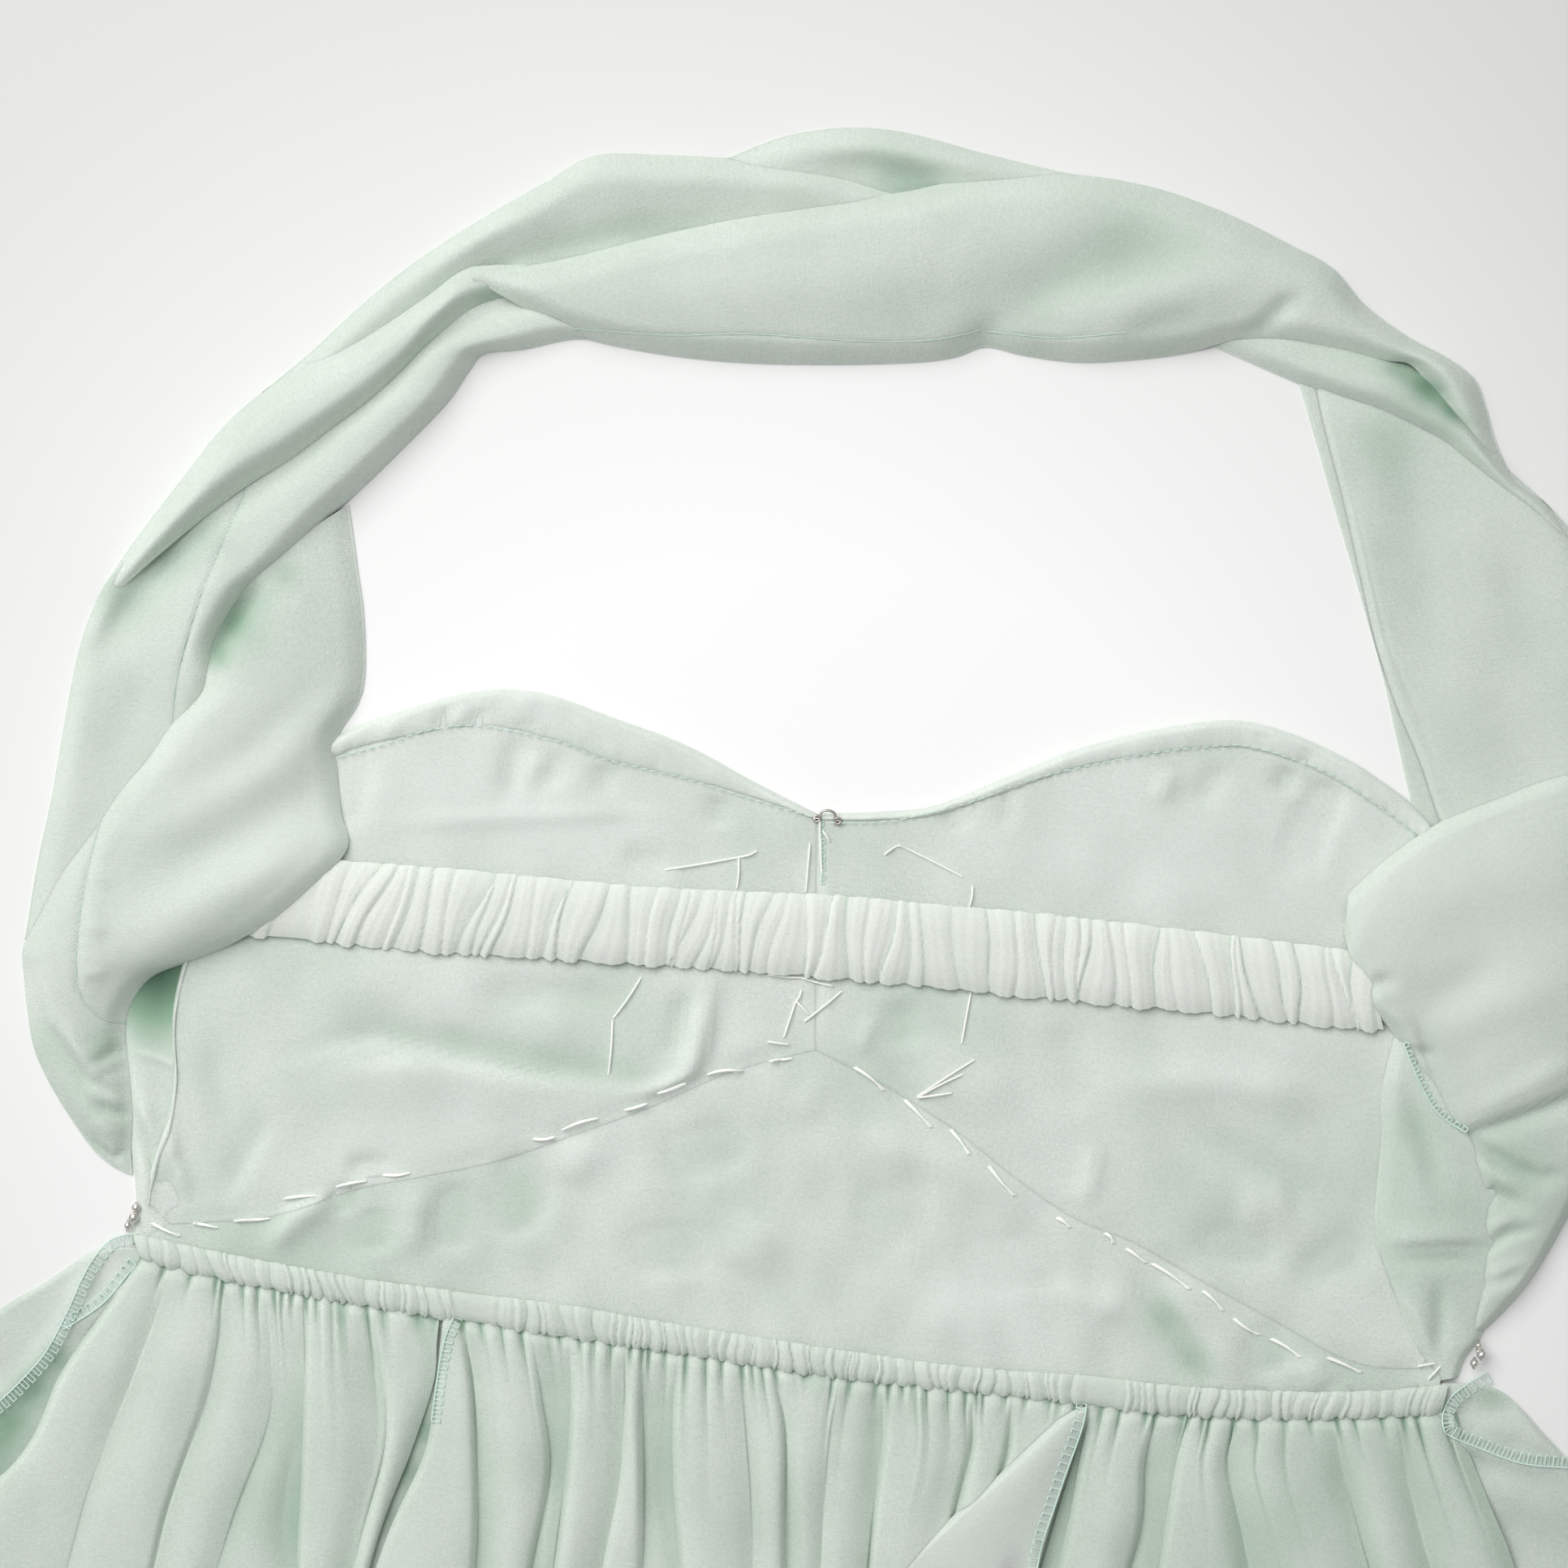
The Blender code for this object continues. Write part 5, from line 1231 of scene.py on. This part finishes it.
# The side panels, tables of the same kind.
leftPanel = {
    "flat": (16, 68), "held": "laid", "on": ["floor"], "steps": (30, 64), "roll": (2.4, 1), "uneven": 0.2,
    "rows": (
        (-171.5, 235, -156, 235, 0.4, 0.4, 1, 1.2, 1.2, 1.1, 1),
        (-171, 243, -157, 243, 0.4, 0.4, 1.2, 1.8, 1.8, 1.4, 1),
        (-172.4, 252, -159, 252, 0.4, 0.4, 1.4, 2.2, 1.8, 1.4, 1),
        (-174.2, 260, -161, 260, 0.4, 0.4, 1.4, 2.2, 1.8, 1.4, 1),
        (-175.4, 270, -161, 270, 0.4, 0.4, 1.4, 2.2, 1.8, 1.4, 1),
        (-177.4, 280, -161, 279.5, 0.4, 0.4, 1.4, 1.9, 1.6, 1.3, 1),
        (-178.8, 286, -162, 284, 0.4, 0.4, 1.2, 1.4, 1.2, 1, 0.8),
        (-180, 294, -163, 296, 0.4, 0.4, 0.9, 0.8, 0.8, 0.8, 0.7),
        (-179, 304, -162, 311, 0.4, 0.4, 0.8, 0.8, 0.8, 0.7, 0.7),
    ),
    "creases": (
        (-1.3, 1.2, 2.4, -176, 272, -171.8, 264.3, -167, 256.6, -162, 250),
        (1.1, 2.2, 1.2, -175, 274, -170, 266, -165, 258), (0.8, 1.6, 2, -172, 262, -169, 252, -168, 243),
        (0.9, 0.8, 1.6, -178.1, 285.1, -172.4, 284.3, -167, 282.7, -160, 280),
    ),
    "tones": ((-172, 305, 12, -2), (-172, 292, 8, -0.3)),
}
rightPanel = {
    "flat": (24, 92), "on": ["bodice_right_cloth"], "steps": (50, 100), "roll": (4.5, 2.6), "uneven": 0.25,
    "rows": (
        (169, 238, 173.5, 239.5, 1.6, 0.6, 2.2, 2.4, 2.6, 2.4, 1.8),
        (164.6, 242.6, 175, 245, 1.6, 0.6, 2.6, 3, 3.2, 2.8, 2),
        (160.6, 248, 178, 250, 2.3, 0.6, 3.2, 3.8, 3.6, 3.4, 2.4),
        (155.6, 257, 180.5, 258.5, 2.3, 0.6, 4, 5, 4.2, 3.6, 2.4),
        (150.6, 266.5, 182.5, 267, 2.3, 0.8, 4, 5.4, 4.8, 3.4, 2.2),
        (147.4, 277, 182, 277, 2.3, 0.8, 3.8, 5.2, 5, 3.4, 2.2),
        (147, 288, 179.5, 287.5, 2.3, 1.2, 3.6, 4.8, 4.6, 3.8, 3),
        (146.6, 299, 173, 298, 2.3, 1.6, 3.6, 4.8, 4.6, 4, 3.4),
        (145.4, 309, 166, 307.5, 2.3, 1.8, 3.4, 4.4, 4.2, 3.8, 3.2),
        (145.4, 318, 158, 317, 1.4, 1.6, 3, 3.8, 3.8, 3.4, 3),
        (146, 326, 152, 325, 1.2, 1.2, 2.4, 3, 3, 2.6, 2.2),
    ),
    "creases": (
        (1.3, 4.5, 1, 146, 271, 157, 273.4, 167, 275, 182, 276),
        (-0.8, 1.4, 2.4, 150, 268, 160, 269, 178, 271), (-1.3, 3, 4, 150, 316, 156, 302, 166, 284),
        (0.9, 2.2, 3, 150, 262, 160, 254, 168, 242), (-1.2, 2.2, 2.6, 165, 266, 167, 254, 168, 242),
        (0.6, 3, 3, 153, 300, 158, 286, 163, 278),
    ),
    "tones": ((163, 275, 40, -0.3), (156, 303, 6, -0.2)),
}

addStretch("side_panel_left_cloth", crepeLined, "bodice_crepe", leftPanel)
addStretch("side_panel_right_cloth", crepeLined, "bodice_crepe", rightPanel)
print("side panels")


def addThread(name, runs, radius, finish):
    # each run is a list of points, and becomes one length of round thread
    curve = bpy.data.curves.new(name, "CURVE")
    curve.dimensions = "3D"
    curve.bevel_depth = radius * mm
    curve.bevel_resolution = 1
    curve.use_fill_caps = True
    for run in runs:
        spline = curve.splines.new("POLY")
        spline.points.add(len(run) - 1)
        for point, place in zip(spline.points, run):
            point.co = (*(part * mm for part in place), 1)
    curve.materials.append(finish)
    piece = newObject(name, curve)
    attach(piece, "root")
    return piece


def topOf(x, y):
    # height of the front cloth under a stitch
    xs, ys = np.array([x], float), np.array([y], float)
    if y < heightOn(seamLine, x):
        return float(max(insetTop(xs, ys)[0], 0.65))
    return float(max(bodiceTop(xs, ys)[0], 0.7))


def bowed(start, end, rise, sag, steps=7):
    # a stitch from start to end, lifted in its middle and bent a little sideways
    run = []
    length = math.hypot(end[0] - start[0], end[1] - start[1])
    asideX, asideY = (start[1] - end[1]) / length, (end[0] - start[0]) / length
    for step in range(steps + 1):
        share = step / steps
        bow = math.sin(math.pi * share)
        x = between(start[0], end[0], share) + asideX * sag * bow
        y = between(start[1], end[1], share) + asideY * sag * bow
        run.append((x, y, topOf(x, y) + 0.15 + rise * bow**0.5))
    return run


# The white basting along the inset seam, each stitch from its left end to its right end.
bastingStitches = (
    (-166.6, 240.7, -158.9, 238.3), (-155.9, 241.8, -149.5, 241.5), (-145.4, 243.6, -136.3, 245.4),
    (-133.2, 250.9, -125, 252.7), (-120.2, 255.5, -112.7, 257.8), (-108.7, 259.8, -101.7, 261.2),
    (-71.1, 273.5, -65.5, 274.7), (-63.9, 276.7, -55.1, 280.7), (-48.4, 283.6, -42.9, 285.9),
    (-40.3, 289, -33.4, 292.4), (-28.2, 295.2, -19.1, 297.2), (-12.8, 300.3, -6.9, 301.7),
    (9.1, 301.2, 17.8, 296.4), (23, 294.3, 31.1, 288.3), (35.6, 288, 41.6, 282.5),
    (46.5, 279.8, 54.4, 273.2), (65.7, 268.5, 69.6, 266.6), (78.4, 265.9, 81.3, 263.8),
    (84.3, 262.6, 90.1, 259.7), (91.3, 259.5, 102, 254.3), (105.2, 254, 111.3, 249.8),
    (113.9, 247.8, 121.4, 244.5), (124.2, 243.6, 132.5, 240), (139.1, 240.5, 148.5, 237.8),
)
# Loose ends of the same thread, as short lines over the cloth.
looseThreads = (
    ((-45, 346.5), (-26, 352), (-22, 354)), ((-26.5, 352), (-26, 344)), ((-8.6, 357.5), (-8.2, 345)),
    ((10.9, 356.8), (13.6, 359.2), (15.2, 359.4), (31.5, 353.4)), ((34.4, 351.4), (34.2, 345.8)),
    ((37.1, 324.2), (36.2, 310.6)), ((26.3, 295.6), (39.9, 306.8)), ((26.5, 295.4), (35, 297.6)),
    ((26.9, 295.8), (37.4, 302.8)), ((-54.1, 306.4), (-53.6, 292.2)), ((-53.9, 307), (-48, 318.2)),
    ((-15.6, 322.6), (-6.9, 322.8), (1.4, 321.6)), ((-6.5, 319.6), (-7.7, 316), (-9.6, 307)),
    ((-7.6, 316.6), (-4, 313.6)), ((-4.8, 311.6), (3.8, 320.4)), ((-13.6, 305.4), (-8.4, 305.2)),
    ((-7, 366), (-6, 358), (-4.6, 350)), ((-5.6, 361), (-3.6, 358.6)),
    ((162.8, 241.1), (167.1, 242.3), (172.2, 245.2)), ((165.9, 237.9), (169, 242.3), (172.2, 245.6)),
)


basting = {"seed": 3, "radius": 0.28, "rise": 0.5}


def addBasting():
    draw = random.Random(basting["seed"])
    runs = []
    for x1, y1, x2, y2 in bastingStitches:  # the thread is double, and its strands part a little
        sag = draw.uniform(-0.5, 0.5)
        runs.append(bowed((x1, y1), (x2, y2), basting["rise"], sag))
        runs.append(bowed((x1 + 0.5, y1 + 0.25), (x2 - 0.6, y2 - 0.15), 0.35, sag + 0.2))
    for line in looseThreads:
        run = []
        for start, end in zip(line, line[1:]):
            run += bowed(start, end, basting["rise"], draw.uniform(-0.3, 0.3), 5)
        runs.append(run)
    addThread("basting_threads", runs, basting["radius"], bastingWhite)


def alongLine(line, pitch):
    # points a pitch apart on a smooth curve through the line, with the way that it runs there
    fine = throughRows(line, np.linspace(0, 1, 60 * len(line)))
    lengths = np.concatenate([[0], np.cumsum(np.hypot(*np.diff(fine, axis=0).T))])
    places = np.arange(0, lengths[-1], pitch)
    x = np.interp(places, lengths, fine[:, 0])
    y = np.interp(places, lengths, fine[:, 1])
    dx, dy = np.gradient(x), np.gradient(y)
    size = np.hypot(dx, dy)
    return np.column_stack([x, y, dx / size, dy / size]).tolist()


# The stitches inside the neck edge, on the left and the right front.
neckStitchLeft = (
    (-132, 366), (-122, 370), (-109, 375.6), (-96, 378), (-77, 376.4), (-63, 373), (-43, 370.6),
    (-26, 367.4), (-10, 364.6),
)
neckStitchRight = (
    (-4, 363.4), (9, 365), (19, 368), (32, 373), (48, 381), (73, 389.6), (93, 394.4), (102, 395.2),
    (114, 393), (123, 390.6), (131, 386.4), (141, 381), (147, 377),
)
neckStitch = {"pitch": 2.6, "long": 1.6, "radius": 0.15, "heights": (0.7, 1.0, 0.7)}


def addNeckStitches():
    runs = []
    for line in (neckStitchLeft, neckStitchRight):
        for x, y, dx, dy in alongLine(line, neckStitch["pitch"]):
            run = []
            for step, height in enumerate(neckStitch["heights"]):
                far = neckStitch["long"] * step / 2
                run.append((x + dx * far, y + dy * far, topOf(x, y) + height))
            runs.append(run)
    addThread("neck_stitches", runs, neckStitch["radius"], aquaThread)


def restingOn(names):
    # a function that gives the height in mm of the highest of these cloths at a place
    trees = []
    for name in names:
        data = bpy.data.objects[name].data
        corners = [vert.co for vert in data.vertices]
        trees.append(BVHTree.FromPolygons(corners, [face.vertices for face in data.polygons]))

    def heightAt(x, y):
        above = Vector((x * mm, y * mm, 0.05))
        hits = [tree.ray_cast(above, Vector((0, 0, -1)))[0] for tree in trees]
        return max([hit.z / mm for hit in hits if hit] or [0.8])

    return heightAt


# Overlocked seam edges: how wide, the side that the loops lie on (1 is the left of the line), and
# the line. They lie on the cloths whose names start as listed.
overlocks = (
    (2.5, 1, (-169.2, 237.8), (-176, 235.6), (-180.1, 230.4), (-182.8, 224.1), (-184.7, 217.8),
     (-188, 208.7), (-191.7, 201.5), (-200.5, 190.4), (-212, 180)),
    (2.4, -1, (-169.3, 229.7), (-172.1, 225.3), (-176.7, 218.7), (-182.9, 213.3), (-186, 211)),
    (2.2, 1, (-85.7, 226.7), (-87.7, 220.2), (-88.5, 211.7), (-88.8, 198)),
    (2.5, -1, (78.8, 221.6), (78.1, 215.2), (75.4, 203.7), (73.2, 193.5), (71.6, 186.3), (70.5, 177.8),
     (69.6, 160)),
    (2.7, 1, (180.7, 241.3), (176.4, 238.1), (172.4, 234.4), (170.7, 230.6), (170.8, 226.6), (172.7, 224.3),
     (180.6, 222), (192.1, 219.3), (204.6, 219.3), (214, 219)),
    (0.8, 1, (-6.6, 363.4), (-5.4, 356), (-4.4, 347)),
    (1.2, 1, (149.5, 323.5), (155, 313.5), (160.5, 306.5), (168, 302.6)),
)
overlockedOn = ("skirt", "bodice", "midriff", "drape_right_root", "side_panel_right")
overlock = {"pitch": 1.15, "radius": 0.22, "over": 0.2, "least": 0.15}


def addOverlocks():
    heightAt = restingOn([name for name in bpy.data.objects.keys() if name.startswith(overlockedOn)])
    runs = []
    for reach, side, *line in overlocks:
        loops, rail = [], []
        for x, y, dx, dy in alongLine(line, overlock["pitch"]):
            inX, inY = x - dy * reach * side, y + dx * reach * side
            z = heightAt(x, y) + overlock["over"]
            outer, inner = (x, y, z), (inX, inY, max(z, heightAt(inX, inY) + overlock["least"]))
            loops += [outer, inner] if len(loops) % 4 == 0 else [inner, outer]
            rail.append((x, y, z + overlock["least"]))
        runs += [loops, rail]
    addThread("seam_overlock", runs, overlock["radius"], aquaThread)


# Seams of the drape's cloth, drawn as thin darker threads on it that stand for the painted shadow along each
# seam: the stretch, and the line.
drapeSeams = (
    ("left_inner", (-158, 448), (-163.6, 432), (-171.2, 406), (-175.6, 382), (-175.4, 362)),
    ("left_root", (-190.5, 349), (-193, 328), (-193.4, 314), (-193, 306.7), (-191.7, 299), (-189, 295),
     (-184.4, 291.8), (-178.6, 291.4)),
    ("top_front", (-90, 482.6), (-61, 483.4), (-38, 486.2), (-10, 487.6), (8, 490), (20, 494)),
    ("top_front", (22, 494), (40, 494.2), (58, 497.6)),
)


def addDrapeSeams():
    runs = []
    for name, *line in drapeSeams:
        heightAt = restingOn([f"drape_{name}_cloth"])
        runs.append([(x, y, heightAt(x, y)) for x, y, dx, dy in alongLine(line, 1.5)])
    addThread("drape_seams", runs, 0.2, seamShadowLine)


# Small beads, in the clusters sewn to the ends of the waist seam: the place of each, the largest
# first, and the crimped collar at each end of its hole.
beads = {
    "bead_left": ((-171.3, 241.6, 2.3), (-171, 244.2, 2), (-172.6, 239.4, 1.9)),
    "bead_right": ((178.6, 246, 3.6), (177, 243.6, 3.6), (177.6, 248.2, 3)),
}
beadRadii = (1.35, 1.15, 0.95)
beadSquash = 0.86
collar = {"radius1": 0.5 * mm, "radius2": 0.36 * mm, "depth": 0.5 * mm}
collarOut = 1.2


def addBeads():
    for node, places in beads.items():
        sheet = bmesh.new()
        for radius, (x, y, z) in zip(beadRadii, places):
            made = bmesh.ops.create_icosphere(sheet, subdivisions=2, radius=radius * mm)["verts"]
            bmesh.ops.scale(sheet, verts=made, vec=(1, 1, beadSquash))
            bmesh.ops.translate(sheet, verts=made, vec=Vector((x, y, z)) * mm)
            for side in (-1, 1):
                made = bmesh.ops.create_cone(sheet, cap_ends=True, segments=10, **collar)["verts"]
                bmesh.ops.translate(sheet, verts=made, vec=Vector((x, y + side * collarOut, z)) * mm)
        name = node + "_cluster"
        piece = newObject(name, meshOf(sheet, name, silverFinish))
        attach(piece, "root")
        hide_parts(node)


# The wire hook, sewn on by a round eye at each end: its place, and then its sizes.
hook = {
    "x": -4.8, "y": 365.4, "z": 3,
    "radius": 1.9, "shank": 1.3, "eye": 0.8, "top": 1.1, "arch": 0.3, "wire": 0.36,
}


def hookLeg(side):
    # from the eye on one side up to the bend
    leg = []
    for step in range(12, -1, -1):
        turn = math.tau * step / 12 + (0 if side > 0 else math.pi)
        eyeX = hook["x"] + side * (hook["radius"] + hook["eye"]) + hook["eye"] * math.cos(turn)
        leg.append((eyeX, hook["y"] - hook["shank"] + hook["eye"] * math.sin(turn), hook["z"]))
    for share in (1, 0.5, 0):
        leg.append((hook["x"] + side * hook["radius"], hook["y"] - hook["shank"] * share, hook["z"]))
    return leg


def addHook():
    bend = []
    for step in range(1, 10):
        turn = math.pi * step / 10
        bendX, bendY = hook["radius"] * math.cos(turn), hook["top"] * math.sin(turn)
        bend.append((hook["x"] + bendX, hook["y"] + bendY, hook["z"] + hook["arch"] * math.sin(turn)))
    run = hookLeg(1) + bend + hookLeg(-1)[::-1]
    piece = addThread("neck_hook_wire", [run], hook["wire"], steelFinish)
    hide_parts("neck_hook")


addBasting()
addNeckStitches()
addOverlocks()
addDrapeSeams()
addBeads()
addHook()
print("stitches, overlocked edges, beads and hook")
